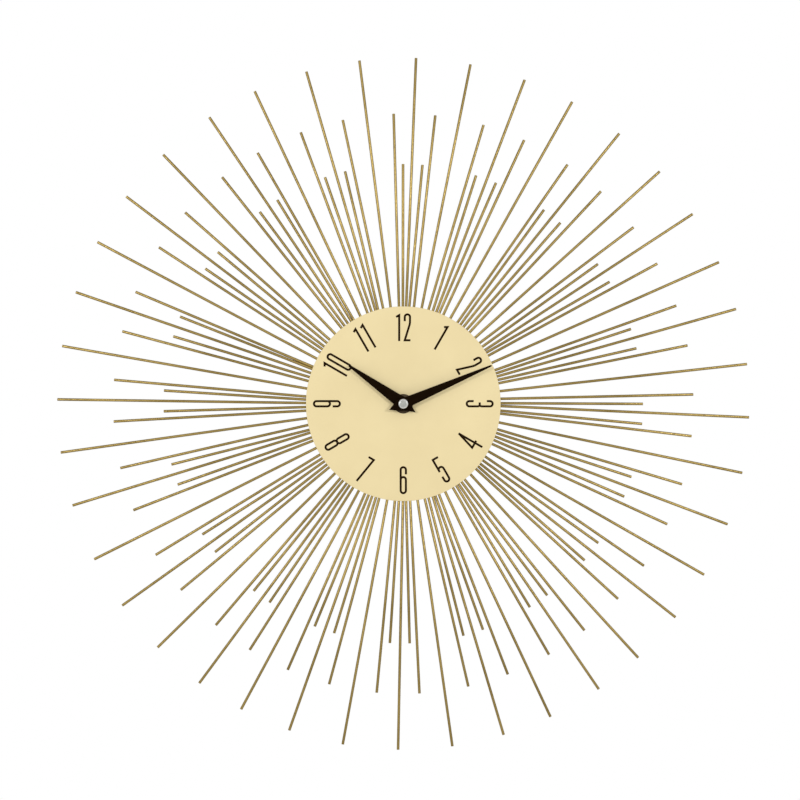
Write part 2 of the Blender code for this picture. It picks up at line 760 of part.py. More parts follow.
def add_minute_arbor(at, materials, phase):
    """The stepped steel arbor that carries the minute hand, with its cannon pinion."""
    profile = [(0.0, MINUTE_ARBOR_STEPS[0][1][0])]
    for radius, (back, front) in MINUTE_ARBOR_STEPS:
        profile += [(radius, back), (radius, front)]
    profile.append((0.0, MINUTE_ARBOR_STEPS[-1][1][1]))
    cannon = pinion(CANNON_TEETH, SETTING_MODULE, phase, CANNON_DEPTHS)
    mesh = joined(turned(profile, 16), cannon)
    add_part("minute_arbor", mesh, materials["spring_steel"], at=at)


def add_hour_wheel(at, materials, phase):
    """The hour wheel and the tube that carries the hour hand through the bush."""
    rim = wheel_outline(HOUR_TEETH, HOUR_MODULE, phase)
    disc = prism([rim, circle(HOUR_DISC_HOLE_RADIUS, 24)], *HOUR_DEPTHS)
    profile = ring_profile(CANNON_BORE_RADIUS, HOUR_TUBE_RADIUS, HOUR_TUBE_DEPTHS)
    mesh = joined(turned(profile, 24, closed=True), disc)
    add_part("hour_wheel", mesh, materials["wheel"], at=at)


def add_setting_knob(at, materials, phase):
    """The ribbed knob at the back, whose pinion turns the motion wheel."""
    grip = prism([wheel_outline(KNOB_RIBS, 2 * KNOB_RADIUS / KNOB_RIBS, 0.0)], *KNOB_GRIP_DEPTHS)
    knob = joined(
        grip,
        arbor(KNOB_SHAFT_RADIUS, KNOB_SHAFT_DEPTHS, sides=16),
        pinion(KNOB_TEETH, SETTING_MODULE, phase, CANNON_DEPTHS),
        arbor(PIVOT_RADIUS, KNOB_PIVOT_DEPTHS),
    )
    add_part("setting_knob", knob, materials["knob"], at=at)


def add_motion_work(at, materials):
    """The minute arbor, the motion wheel, the hour wheel and the knob."""
    to_motion = MOTION_DIRECTION_DEG
    to_centre = to_motion + 180.0
    add_minute_arbor(at["centre"], materials, to_motion)
    motion_phase = mesh_phase(to_motion, CANNON_TEETH, to_motion, MOTION_TEETH[0])
    motion = joined(
        prism([wheel_outline(MOTION_TEETH[0], SETTING_MODULE, motion_phase)], *MOTION_DEPTHS),
        pinion(MOTION_TEETH[1], HOUR_MODULE, to_centre, MOTION_PINION_DEPTHS),
        arbor(PIVOT_RADIUS, MOTION_PIVOT_DEPTHS),
    )
    add_part("motion_wheel", motion, materials["wheel"], at=at["motion"])
    hour_phase = mesh_phase(to_centre, MOTION_TEETH[1], to_centre, HOUR_TEETH)
    add_hour_wheel(at["centre"], materials, hour_phase)
    knob_phase = mesh_phase(KNOB_DIRECTION_DEG, MOTION_TEETH[0], motion_phase, KNOB_TEETH)
    add_setting_knob(at["knob"], materials, knob_phase)


# The movement's case


def disc(point, radius, depths, sides=12):
    """A round post or cutter that stands at an (x, z) point."""
    return shifted(arbor(radius, depths, sides), x=point[0], z=point[1])


def box(low, high, depths):
    return prism([rectangle(low, high)], *depths)


def add_case(at, materials):
    """A tray with a space for the works and a bay for the cell, divided by a short wall."""
    inner = CASE_INNER_HALF
    front = CASE_INNER_FRONT_DEPTH
    left_end, right_end = BAY_WALL_ENDS
    works_depths = (-OVERCUT, front)
    gap_heights = (BAY_TOP - OVERCUT, BAY_WALL_TOP + OVERCUT)
    shell = cut(
        prism([rounded_square(CASE_HALF, CASE_CORNER_RADIUS)], 0.0, CASE_FRONT_DEPTH),
        box((-inner, BAY_WALL_TOP), (inner, inner), works_depths),
        box((-inner, -inner), (inner, BAY_TOP), (-OVERCUT, BAY_FRONT_DEPTH)),
        box((-inner, gap_heights[0]), (left_end, gap_heights[1]), works_depths),
        box((right_end, gap_heights[0]), (inner, gap_heights[1]), works_depths),
    )
    root = front + POST_ROOT
    back_depths = (BACK_THICKNESS + BACK_GAP, root)
    plate_depths = (TRAIN_PLATE_DEPTHS[1] + BACK_GAP, root)
    posts = [disc(point, POST_RADIUS, back_depths, sides=8) for point in BACK_POSTS]
    posts += [disc(point, POST_RADIUS, plate_depths, sides=8) for point in PLATE_POSTS]
    shell = joined(shell, *posts)
    through = (front - OVERCUT, CASE_FRONT_DEPTH + OVERCUT)
    seat = (front - OVERCUT, FRONT_PIVOT_SEAT_DEPTH)
    shell = cut(
        shell,
        disc(at["centre"], BUSH_RADIUS + BUSH_HOLE_GAP, through, sides=24),
        disc(at["motion"], PIVOT_HOLE_RADIUS, seat),
        disc(at["knob"], PIVOT_HOLE_RADIUS, seat),
    )
    add_part("movement_case", shell, materials["case"])


def add_back(at, materials):
    """The back plate, with blind holes for the pivots and a well for the knob."""
    half = CASE_INNER_HALF - BACK_GAP
    plate = box((-half, BAY_WALL_TOP + BACK_GAP), (half, half), (0.0, BACK_THICKNESS))
    well_back = KNOB_WELL_DEPTH + KNOB_WELL_FLOOR
    well = disc(at["knob"], KNOB_WELL_RADIUS + KNOB_WELL_WALL, (BACK_GAP, well_back), sides=32)
    blind = (BACK_PIVOT_SEAT_DEPTH, BACK_THICKNESS + OVERCUT)
    names = ("third", "fourth", "intermediate", "rotor")
    pivots = [disc(at[name], PIVOT_HOLE_RADIUS, blind) for name in names]
    centre_blind = (CENTRE_PIVOT_SEAT_DEPTH, BACK_THICKNESS + OVERCUT)
    shaft_depths = (KNOB_WELL_DEPTH - OVERCUT, well_back + OVERCUT)
    plate = cut(
        joined(plate, well),
        disc(at["knob"], KNOB_WELL_RADIUS, (-OVERCUT, KNOB_WELL_DEPTH), sides=32),
        disc(at["knob"], KNOB_SHAFT_RADIUS + KNOB_SHAFT_GAP, shaft_depths),
        disc(at["centre"], CENTRE_PIVOT_HOLE_RADIUS, centre_blind),
        *pivots,
    )
    add_part("movement_back", plate, materials["case"])


def add_train_plate(at, materials):
    """The plate in the middle of the works, which the wheels' arbors run through."""
    through = (TRAIN_PLATE_DEPTHS[0] - OVERCUT, TRAIN_PLATE_DEPTHS[1] + OVERCUT)
    names = ("third", "fourth", "intermediate", "rotor", "motion")
    pivots = [disc(at[name], PIVOT_HOLE_RADIUS, through) for name in names]
    plate = box(*TRAIN_PLATE_CORNERS, TRAIN_PLATE_DEPTHS)
    plate = cut(plate, disc(at["centre"], ARBOR_HOLE_RADIUS, through), *pivots)
    add_part("train_plate", plate, materials["case"])


# The motor, the board and the cell


def add_stator(rotor_at, materials):
    """One lamination: the pole round the rotor, a spine, and two legs that reach the coil."""
    inner, outer = STATOR_SPINE
    low, low_top = STATOR_LOWER_LEG
    high_bottom, high = STATOR_UPPER_LEG
    pole_bottom = rotor_at[1] - STATOR_POLE_HALF
    pole_top = rotor_at[1] + STATOR_POLE_HALF
    outline = [
        (inner, low), (STATOR_LEG_END, low), (STATOR_LEG_END, low_top), (outer, low_top),
        (outer, high_bottom), (STATOR_LEG_END, high_bottom), (STATOR_LEG_END, high),
        (inner, high), (inner, pole_top), (STATOR_POLE_END, pole_top),
        (STATOR_POLE_END, pole_bottom), (inner, pole_bottom),
    ]
    gap = circle(ROTOR_GAP_RADIUS, 24, centre=rotor_at)
    add_part("stator", prism([outline, gap], *STATOR_DEPTHS), materials["magnet_steel"])


def add_coil(materials):
    """The flat core, the bobbin that it runs through and the wire wound on it."""
    left, right = COIL_X - CORE_HALF_WIDTH, COIL_X + CORE_HALF_WIDTH
    bottom, top = COIL_HEIGHTS
    core = box((left, CORE_HEIGHTS[0]), (right, CORE_HEIGHTS[1]), CORE_DEPTHS)
    add_part("coil_core", core, materials["magnet_steel"])

    barrel = (bottom + BOBBIN_FLANGE_THICKNESS, top - BOBBIN_FLANGE_THICKNESS)
    profile = [
        (0.0, bottom),
        (BOBBIN_FLANGE_RADIUS, bottom),
        (BOBBIN_FLANGE_RADIUS, barrel[0]),
        (BOBBIN_BARREL_RADIUS, barrel[0]),
        (BOBBIN_BARREL_RADIUS, barrel[1]),
        (BOBBIN_FLANGE_RADIUS, barrel[1]),
        (BOBBIN_FLANGE_RADIUS, top),
        (0.0, top),
    ]
    spool = shifted(along_z(turned(profile, 24)), x=COIL_X, depth=COIL_DEPTH)
    bore = box(
        (left - BOBBIN_BORE_GAP, bottom - OVERCUT),
        (right + BOBBIN_BORE_GAP, top + OVERCUT),
        (CORE_DEPTHS[0] - BOBBIN_BORE_GAP, CORE_DEPTHS[1] + BOBBIN_BORE_GAP),
    )
    add_part("coil_bobbin", cut(spool, bore), materials["wheel"])

    wound = (barrel[0] + WINDING_END_GAP, barrel[1] - WINDING_END_GAP)
    turns = turned(ring_profile(*WINDING_RADII, wound), 20, closed=True)
    turns = shifted(along_z(turns), x=COIL_X, depth=COIL_DEPTH)
    add_part("coil_winding", turns, materials["copper"])


def add_board(materials):
    add_part("circuit_board", box(*BOARD_CORNERS, BOARD_DEPTHS), materials["board"])
    chip = shifted(turned(CHIP_PROFILE, 20), x=CHIP_AT[0], z=CHIP_AT[1])
    add_part("driver_chip", chip, materials["chip"])
    bottom, top = CRYSTAL_HEIGHTS
    can = [
        (0.0, bottom),
        (CRYSTAL_RADIUS - CRYSTAL_END_CHAMFER, bottom),
        (CRYSTAL_RADIUS, bottom + CRYSTAL_END_CHAMFER),
        (CRYSTAL_RADIUS, top),
        (0.0, top),
    ]
    crystal = shifted(along_z(turned(can, 16)), x=CRYSTAL_X, depth=CRYSTAL_DEPTH)
    add_part("quartz_crystal", crystal, materials["spring_steel"])


def add_cell(materials):
    left, right = CELL_ENDS
    profile = [
        (0.0, left),
        (CELL_END_RADIUS, left),
        (CELL_RADIUS, left + CELL_SHOULDER),
        (CELL_RADIUS, right - CELL_SHOULDER),
        (CELL_END_RADIUS, right),
        (CELL_TERMINAL_RADIUS, right),
        (CELL_TERMINAL_RADIUS, CELL_TERMINAL_END),
        (0.0, CELL_TERMINAL_END),
    ]
    cell = shifted(along_x(turned(profile, 32)), depth=CELL_DEPTH, z=CELL_HEIGHT)
    add_part("battery", cell, materials["cell"])


def add_contacts(materials):
    """Two sprung strips, from the ends of the cell to the board's end of the case."""
    steel = materials["spring_steel"]
    t = CONTACT_THICKNESS
    foot, head = CONTACT_HEIGHTS
    left = NEGATIVE_CONTACT_X
    tongue = rectangle((left, foot), (left + t, head))
    add_part("contact_negative", prism([tongue], *NEGATIVE_CONTACT_DEPTHS), steel)
    right = POSITIVE_CONTACT_X
    run = POSITIVE_RUN_HEIGHT
    riser = POSITIVE_RISER_X
    strip = [
        (right, foot), (right + t, foot), (right + t, run + t), (riser + t, run + t),
        (riser + t, head), (riser, head), (riser, run), (right, run),
    ]
    add_part("contact_positive", prism([strip], *POSITIVE_CONTACT_DEPTHS), steel)


def add_hanger(materials):
    """A bent steel strap: clamped on the bush, over the case's top, with a loop at the wall."""
    t = HANGER_THICKNESS
    front = HANGER_FRONT_DEPTH
    back = HANGER_LOOP_DEPTH
    bend = HANGER_BEND_HEIGHT
    top = HANGER_LOOP_TOP
    side = [
        (front - t, HANGER_FOOT), (front, HANGER_FOOT), (front, bend), (back, bend),
        (back, top), (back - t, top), (back - t, bend - t), (front - t, bend - t),
    ]
    strap = prism([[(-depth, z) for depth, z in side]], -HANGER_HALF_WIDTH, HANGER_HALF_WIDTH)
    strap = along_x(strap)
    at_bush = (front - t - OVERCUT, front + OVERCUT)
    at_wall = (back - t - OVERCUT, back + OVERCUT)
    sill, shoulder, crown = LOOP_HEIGHTS
    half = LOOP_HALF_WIDTH
    notch = LOOP_NOTCH_HALF_WIDTH
    loop = [
        (-half, sill), (half, sill), (half, shoulder), (notch, crown), (-notch, crown),
        (-half, shoulder),
    ]
    edge = HANGER_HALF_WIDTH + OVERCUT
    past_top = top + OVERCUT
    corner = [
        (edge, top - HANGER_CORNER_CUT),
        (edge, past_top),
        (HANGER_HALF_WIDTH - HANGER_CORNER_CUT, past_top),
    ]
    mirrored = [(-x, z) for x, z in reversed(corner)]
    strap = cut(
        strap,
        disc((0.0, 0.0), SHAFT_HOLE_RADIUS, at_bush, sides=24),
        prism([loop], *at_wall),
        prism([corner], *at_wall),
        prism([mirrored], *at_wall),
    )
    add_part("hanger", strap, materials["spring_steel"])


def main():
    clear_scene()
    materials = make_materials()
    at = train_positions()
    add_burst(materials)
    add_dial(materials)
    add_hub_plate(materials)
    add_clamp(materials)
    add_hands(materials)
    add_going_train(at, materials)
    add_motion_work(at, materials)
    add_case(at, materials)
    add_back(at, materials)
    add_train_plate(at, materials)
    add_stator(at["rotor"], materials)
    add_coil(materials)
    add_board(materials)
    add_cell(materials)
    add_contacts(materials)
    add_hanger(materials)


main()
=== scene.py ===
"""The finished look of the sunburst wall clock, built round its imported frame.

Lengths are in millimetres and are turned into metres as the vertices are made. Depths are measured
forward from the wall, so a depth of 16 mm is y = -16 mm. Angles of the rods, numerals and hands are
clockwise from 12 o'clock, as the viewer sees them.
"""

import json
import math
import random

import bmesh
import bpy
from mathutils import Matrix, Vector


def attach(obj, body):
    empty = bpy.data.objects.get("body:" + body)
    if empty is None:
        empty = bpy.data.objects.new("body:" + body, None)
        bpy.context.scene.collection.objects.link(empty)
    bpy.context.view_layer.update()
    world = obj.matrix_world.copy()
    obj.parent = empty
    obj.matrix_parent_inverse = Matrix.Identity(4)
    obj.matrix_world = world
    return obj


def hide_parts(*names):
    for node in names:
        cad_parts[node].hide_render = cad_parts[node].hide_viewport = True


MM = 0.001

# How finely shapes are made. A cutter goes OVERCUT past a face, and a rounded corner takes
# CORNER_SHARE of a side at most.
SLIVER = 0.001
OVERCUT = 1.0
CORNER_SHARE = 0.45
HOLE_SIDES = 48
RUBBER_SIDES = 64
TURNED_SIDES = 96
DIAL_SIDES = 240
HUB_SIDES = 480

# The burst of rods, laid out as in the frame
FAN_COUNT = 20
FAN_PITCH_DEG = 360 / FAN_COUNT
ROD_RADIUS = 1.2
ROD_SIDES = 16
ROD_END_ROUND = 0.3
ROD_END_STEPS = 3
ROD_AXIS_DEPTH = 18.15
ROD_ROOT_RADIUS = 64.0
LONG_REACH = 305.0
MEDIUM_REACH = 255.8
SHORT_REACH = 211.3
SHORT_ROD_DEG = 2.68
SHORT_ROD_OFFSET = -0.7
MEDIUM_ROD_DEG = 4.04
MEDIUM_ROD_OFFSET = 0.6
BURST_TURN_DEG = 1.5
BURST_SWAY_DEG = 1.0
BURST_SWAY_TOWARD_DEG = 59.0
FAN_WANDER_DEG = 0.35
ROD_WANDER_DEG = 0.22
ROOT_SWIRL = -0.8
ROOT_WANDER = 0.7
WANDER_SEED = 20
STRAP_RADII = (66.0, 74.0)
STRAP_DEPTHS = (16.7, 17.5)
STRAP_TURNS_DEG = (-6.2, 9.8)
STRAP_STEPS = 12
STRAP_EDGE = 0.15

# The dial and its clamp
DIAL_RADIUS = 85.8
DIAL_DEPTHS = (19.6, 20.8)
DIAL_EDGE_ROUND = 0.35
SHAFT_HOLE_RADIUS = 4.25
HUB_OUTER_RADIUS = 80.0
HUB_THICKNESS = 1.2
HUB_BEND_SHIFT = 0.72
HUB_BEND_ROUND = 0.45
HUB_BOSS_FRONT_DEPTH = 19.4
HUB_BOSS_RADIUS = 49.0
HUB_FLANGE_FRONT_DEPTH = 16.5
HUB_FLANGE_RADIUS = 52.5
WELD_RADIUS = 1.7
WELD_DENT = 0.22
WELDS_PER_FAN = 3
WELD_CIRCLE_RADIUS = 70.0
FLAT_TOLERANCE = 0.01
WASHER_RADIUS = 8.6
WASHER_DEPTHS = (21.0, 21.8)
WASHER_EDGE = 0.3
RUBBER_RADIUS = 9.0
RUBBER_DEPTHS = (17.2, 18.0)
RUBBER_EDGE = 0.25
NUT_DEPTHS = (22.0, 24.2)
NUT_ACROSS_FLATS = 11.0
NUT_FACE_INSET = 0.15
NUT_CORNER_CLEAR = 0.1
NUT_CHAMFER = 0.45
NUT_SINK = 0.3
BUSH_RADIUS = 3.95
BUSH_BORE_RADIUS = 2.59
BUSH_FLANGE_RADIUS = 5.5
BUSH_FLANGE_DEPTHS = (13.5, 14.4)
BUSH_TIP_DEPTH = 25.0
THREAD_START_DEPTH = 21.9
THREAD_PITCH = 0.75
THREAD_DEPTH = 0.28
THREAD_STEPS = 6

# The numerals. A glyph's line runs within +-GLYPH_HALF_WIDTH and +-GLYPH_HALF_HEIGHT, and the round
# of a 5, 6 or 9 reaches GLYPH_ROUND_END past its middle.
NUMERAL_RADIUS = 67.3
NUMERAL_STROKE = 1.85
NUMERAL_THICKNESS = 0.08
GLYPH_HALF_WIDTH = 2.3
GLYPH_HALF_HEIGHT = 11.4
GLYPH_ROUND_END = 2.7
DIGIT_SPACING = 7.2
MITRE_LIMIT = 0.35
HOUR_PITCH_DEG = 30.0
INWARD_HOURS = range(4, 9)

# The hands
MINUTE_ANGLE_DEG = 66.6
HOUR_ANGLE_DEG = 305.1
MINUTE_HAND = {"reach": 84.8, "tip": 1.6, "waist": 10.2, "waist_at": -4.3, "tail": 13.5}
HOUR_HAND = {"reach": 59.0, "tip": 1.9, "waist": 11.4, "waist_at": -0.6, "tail": 13.3}
HAND_THICKNESS = 0.5
HAND_EDGE = 0.09
HOUR_HAND_DEPTH = 25.6
MINUTE_HAND_DEPTH = 28.4
HOUR_HOLE_RADIUS = 2.65
MINUTE_HOLE_RADIUS = 1.57
CAP_RADIUS = 4.25
CAP_BEVEL = 0.8
CAP_BEVEL_DEPTH = 0.64
CAP_EDGE = 0.18
# How far inside the cap's bevel the painted highlight on its rim fades in
CAP_RIM_HIGHLIGHT_BLEND = 0.5
CAP_FRONT_WALL = 1.0
CAP_DEPTHS = (29.1, 32.0)

# The movement's case
CASE_HALF = 28.0
CASE_CORNER_RADIUS = 3.0
CASE_FRONT_DEPTH = 16.0
CASE_INNER_HALF = 26.8
CASE_INNER_FRONT_DEPTH = 14.6
CASE_EDGE = 0.6
BAY_TOP = -11.9
BAY_WALL_TOP = -10.9
BAY_WALL_ENDS = (-24.4, 24.9)
BAY_CORNER_RADIUS = 1.0
BAY_FRONT_DEPTH = 15.1
BUSH_HOLE_GAP = 0.2
POST_RADIUS = 1.2
POST_ROOT = 0.4
BACK_POSTS = ((-25.3, 25.3), (25.3, 25.3), (25.3, -7.5), (-22.2, -8.0))
PLATE_POSTS = ((-11.5, -7.0), (-11.5, 16.8), (12.6, 17.0))
PLATE_FRONT_DEPTH = 9.9
PIVOT_HOLE_RADIUS = 0.43
CENTRE_PIVOT_HOLE_RADIUS = 0.47
FRONT_PIVOT_SEAT_DEPTH = 15.2
BACK_PIVOT_SEAT_DEPTH = 0.55
CENTRE_PIVOT_SEAT_DEPTH = 0.45
BACK_THICKNESS = 1.2
BACK_GAP = 0.2
BACK_CORNER_RADIUS = 1.2
BACK_EDGE = 0.25
KNOB_WELL_RADIUS = 5.2
KNOB_WELL_WALL = 0.8
KNOB_WELL_DEPTH = 2.9
KNOB_WELL_FLOOR = 1.0
KNOB_SHAFT_HOLE_RADIUS = 1.3
LABEL_RECESS = ((-22.5, 2.5), (22.5, 22.5))
LABEL_CORNER_RADIUS = 1.5
LABEL_SUNK = 0.25
SNAP_HEIGHTS = (16.0, -3.0)
SNAP_LONG = 7.0
SNAP_DEEP = 0.7
SNAP_DEPTHS = (3.0, 5.4)
SIGN_LINE = 0.45
SIGN_SUNK = 0.2
SIGN_CELL = ((-22.0, -8.6), (6.0, -2.6))
SIGN_CORNER_RADIUS = 0.8
SIGN_NUB_LONG = 0.7
SIGN_NUB_HALF = 0.8
SIGN_MARK_INSET = 3.6
SIGN_MARK_HALF = 1.2
ARROW_GAP = 1.0
ARROW_SPAN_DEG = (-20.0, 200.0)
ARROW_HEAD_DEG = 15.0
ARROW_HEAD_HALF = 0.75
ARROW_STEPS = 48

# The cell, along X. Its sleeve leaves the steel bare inside CELL_BARE_RADIUS. The steel parts of its
# outline are (radius, distance past this end) points.
CELL_RADIUS = 7.1
CELL_BARE_RADIUS = 6.15
CELL_HEIGHT = -19.4
CELL_DEPTH = 7.7
CELL_ENDS = (-24.6, 24.0)
CELL_TERMINAL_END = 25.3
CELL_BOTTOM = ((0.0, 0.0), (6.1, 0.0), (6.2, 0.2))
CELL_TOP = ((6.1, -0.2), (3.6, -0.1), (3.4, 0.0), (2.9, 0.0), (2.7, 0.3))
CELL_TERMINAL_TIP = ((2.7, -0.2), (2.4, 0.0), (0.0, 0.0))
CELL_BOTTOM_ROUND = 0.5
CELL_BOTTOM_RISE = 0.7
CELL_SHOULDER_ROUND = 0.6
CELL_SHOULDER_DROP = 0.9
CELL_ROUND_STEPS = 4
CELL_BAND = (12.5, 12.7)

# The hanger
HANGER_HALF_WIDTH = 9.0
HANGER_THICKNESS = 0.8
HANGER_FRONT_DEPTH = 17.0
HANGER_LOOP_DEPTH = 1.8
HANGER_BEND_HEIGHT = 29.7
HANGER_BEND_RADIUS = 0.6
HANGER_BEND_STEPS = 6
HANGER_LOOP_TOP = 41.0
HANGER_FOOT = -9.0
HANGER_CORNER_CUT = 4.5
LOOP_HALF_WIDTH = 4.0
LOOP_HEIGHTS = (32.0, 35.5, 38.2)
LOOP_NOTCH_HALF_WIDTH = 1.5
LOOP_ROUND = 1.2

# The studio
CAMERA_AT = (-2.9, -3000.0, 3.3)
CAMERA_FAR = 50000.0
SENSOR_WIDTH = 36.0
PICTURE_WIDTH = 705.2
FLOOR_HEIGHT = -1500.0
FLOOR_RADIUS = 3300.0
FLOOR_SIDES = 128
LIGHT_AT = (1200.0, -2500.0, 420.0)
LIGHT_SIZE = 420.0
LIGHT_POWER = 17.0
AROUND_LIGHT = 0.63


# Outlines, as (x, z) points, anticlockwise as the viewer sees them


def polar(angle_deg, distance):
    """The point at this distance in the direction measured anticlockwise from +X."""
    angle = math.radians(angle_deg)
    return (distance * math.cos(angle), distance * math.sin(angle))


def clock_polar(angle_deg, distance):
    """The point at this distance in the direction measured clockwise from 12 o'clock."""
    return polar(90.0 - angle_deg, distance)


def circle(radius, sides):
    return [polar(360.0 * k / sides, radius) for k in range(sides)]


def arc(centre, radius, start_deg, end_deg, steps=16):
    """Points along an arc, anticlockwise where the end is past the start."""
    points = []
    for k in range(steps + 1):
        x, z = polar(start_deg + (end_deg - start_deg) * k / steps, radius)
        points.append((centre[0] + x, centre[1] + z))
    return points


def bend(start, corner, end, steps=8):
    """Points along the smooth curve that a corner pulls towards itself."""
    points = []
    for k in range(steps + 1):
        t = k / steps
        shares = ((1 - t) ** 2, 2 * t * (1 - t), t * t)
        pulls = list(zip(shares, (start, corner, end)))
        points.append((sum(s * x for s, (x, _) in pulls), sum(s * z for s, (_, z) in pulls)))
    return points


def rectangle(low, high):
    return [low, (high[0], low[1]), high, (low[0], high[1])]


def bar(centre, half_long, half_wide):
    x, z = centre
    return rectangle((x - half_long, z - half_wide), (x + half_long, z + half_wide))


def softened(points, radius, steps=3):
    """The closed outline with each corner rounded off over about this length."""
    corners = [Vector(point) for point in points]
    rounded = []
    for k, corner in enumerate(corners):
        before = corners[k - 1] - corner
        after = corners[(k + 1) % len(corners)] - corner
        start = corner + before.normalized() * min(radius, CORNER_SHARE * before.length)
        end = corner + after.normalized() * min(radius, CORNER_SHARE * after.length)
        rounded += bend(start, corner, end, steps)
    return rounded


def turned_outline(points, clockwise_deg):
    """The outline turned about the origin, clockwise as the viewer sees it."""
    angle = math.radians(clockwise_deg)
    c, s = math.cos(angle), math.sin(angle)
    return [(x * c + z * s, z * c - x * s) for x, z in points]


def hand_outline(hand):
    """A long dagger that points up, widest near the hub, with a short pointed tail."""
    half_tip = hand["tip"] / 2
    half_waist = hand["waist"] / 2
    return [
        (0.0, -hand["tail"]),
        (half_waist, hand["waist_at"]),
        (half_tip, hand["reach"] - half_tip),
        (0.0, hand["reach"]),
        (-half_tip, hand["reach"] - half_tip),
        (-half_waist, hand["waist_at"]),
    ]


# Meshes


def finish_mesh(bm, name="mesh"):
    bmesh.ops.recalc_face_normals(bm, faces=bm.faces)
    mesh = bpy.data.meshes.new(name)
    bm.to_mesh(mesh)
    bm.free()
    return mesh


def prism(outlines, back_depth, front_depth):
    """A plate between two depths. The first outline is its edge and the others are its holes."""
    bm = bmesh.new()
    front_rings = []
    for outline in outlines:
        front_rings.append([bm.verts.new(Vector((x, -front_depth, z)) * MM) for x, z in outline])
    edges = []
    for ring in front_rings:
        for k, vert in enumerate(ring):
            edges.append(bm.edges.new((vert, ring[(k + 1) % len(ring)])))
    filled = bmesh.ops.triangle_fill(bm, use_beauty=True, edges=edges)
    faces = [part for part in filled["geom"] if isinstance(part, bmesh.types.BMFace)]
    shift = Vector((0.0, front_depth - back_depth, 0.0)) * MM
    to_back = {vert: bm.verts.new(vert.co + shift) for ring in front_rings for vert in ring}
    for face in faces:
        bm.faces.new([to_back[vert] for vert in reversed(face.verts)])
    for ring in front_rings:
        for k, vert in enumerate(ring):
            after = ring[(k + 1) % len(ring)]
            bm.faces.new((vert, after, to_back[after], to_back[vert]))
    return finish_mesh(bm)


def loft(bm, rings):
    """Adds the faces between each ring of points and the next. A ring of one point is a tip."""
    sides = max(map(len, rings))
    for one, two in zip(rings, rings[1:]):
        for k in range(sides):
            after = (k + 1) % sides
            if len(one) == 1:
                bm.faces.new((one[0], two[after], two[k]))
            elif len(two) == 1:
                bm.faces.new((one[k], one[after], two[0]))
            else:
                bm.faces.new((one[k], one[after], two[after], two[k]))


def turned(profile, sides, closed=False):
    """A solid of revolution about the depth axis from (radius, depth) points.

    A closed profile goes round a hollow piece. An open one starts and ends on the axis.
    """
    bm = bmesh.new()
    rings = []
    for radius, depth in profile:
        if radius == 0.0:
            rings.append([bm.verts.new(Vector((0.0, -depth, 0.0)) * MM)])
        else:
            points = circle(radius, sides)
            rings.append([bm.verts.new(Vector((x, -depth, z)) * MM) for x, z in points])
    loft(bm, rings + rings[:1] if closed else rings)
    return finish_mesh(bm)


def ring(inner, outer, depths, edge, sides):
    """A washer or disc with rounded edges."""
    profile = softened(rectangle((inner, depths[0]), (outer, depths[1])), edge)
    return turned(profile, sides, closed=True)


def moved(mesh, matrix):
    mesh.transform(matrix)
    return mesh


def shifted(mesh, x=0.0, depth=0.0, z=0.0):
    return moved(mesh, Matrix.Translation(Vector((x, -depth, z)) * MM))


def along_x(mesh):
    """Turns a piece's depth axis, front end first, to +X."""
    return moved(mesh, Matrix.Rotation(math.radians(90.0), 4, "Z"))


def evaluated(mesh, set_modifier):
    """The mesh after one modifier, which set_modifier adds to its object."""
    holder = bpy.data.objects.new("holder", mesh)
    bpy.context.scene.collection.objects.link(holder)
    set_modifier(holder)
    graph = bpy.context.evaluated_depsgraph_get()
    result = bpy.data.meshes.new_from_object(holder.evaluated_get(graph))
    bpy.data.objects.remove(holder)
    return result


def combined(first, others, operation):
    """The exact Boolean of the first mesh with each of the others in turn."""
    result = first
    for other in others:
        tool = bpy.data.objects.new("tool", other)
        bpy.context.scene.collection.objects.link(tool)

        def boolean(holder):
            modifier = holder.modifiers.new("boolean", "BOOLEAN")
            modifier.operation = operation
            modifier.solver = "EXACT"
            modifier.object = tool

        result = evaluated(result, boolean)
        bpy.data.objects.remove(tool)
    return cleaned(result)


def cleaned(mesh):
    """The mesh without the hair-thin faces and spare points that a Boolean can leave."""
    bm = bmesh.new()
    bm.from_mesh(mesh)
    bmesh.ops.dissolve_degenerate(bm, dist=SLIVER * MM, edges=bm.edges)
    spare = [vert for vert in bm.verts if len(vert.link_edges) == 2]
    bmesh.ops.dissolve_verts(bm, verts=spare)
    bm.to_mesh(mesh)
    bm.free()
    return mesh


def joined(first, *others):
    return combined(first, others, "UNION")


def cut(first, *others):
    return combined(first, others, "DIFFERENCE")


def bevelled(mesh, width, segments=2, angle_deg=30.0):
    def bevel(holder):
        modifier = holder.modifiers.new("bevel", "BEVEL")
        modifier.width = width * MM
        modifier.segments = segments
        modifier.limit_method = "ANGLE"
        modifier.angle_limit = math.radians(angle_deg)

    return evaluated(mesh, bevel)


def rod_mesh(start, end, depth):
    """A round rod with rounded ends between two (x, z) points at one depth."""
    span = Vector((end[0] - start[0], 0.0, end[1] - start[1]))
    edge = ROD_RADIUS - ROD_END_ROUND
    profile = [(0.0, 0.0)]
    profile += arc((edge, ROD_END_ROUND), ROD_END_ROUND, -90.0, 0.0, ROD_END_STEPS)
    profile += arc((edge, span.length - ROD_END_ROUND), ROD_END_ROUND, 0.0, 90.0, ROD_END_STEPS)
    profile += [(0.0, span.length)]
    mesh = turned(profile, ROD_SIDES)
    turn = Vector((0.0, -1.0, 0.0)).rotation_difference(span).to_matrix().to_4x4()
    place = Matrix.Translation(Vector((start[0], -depth, start[1])) * MM)
    return moved(mesh, place @ turn)


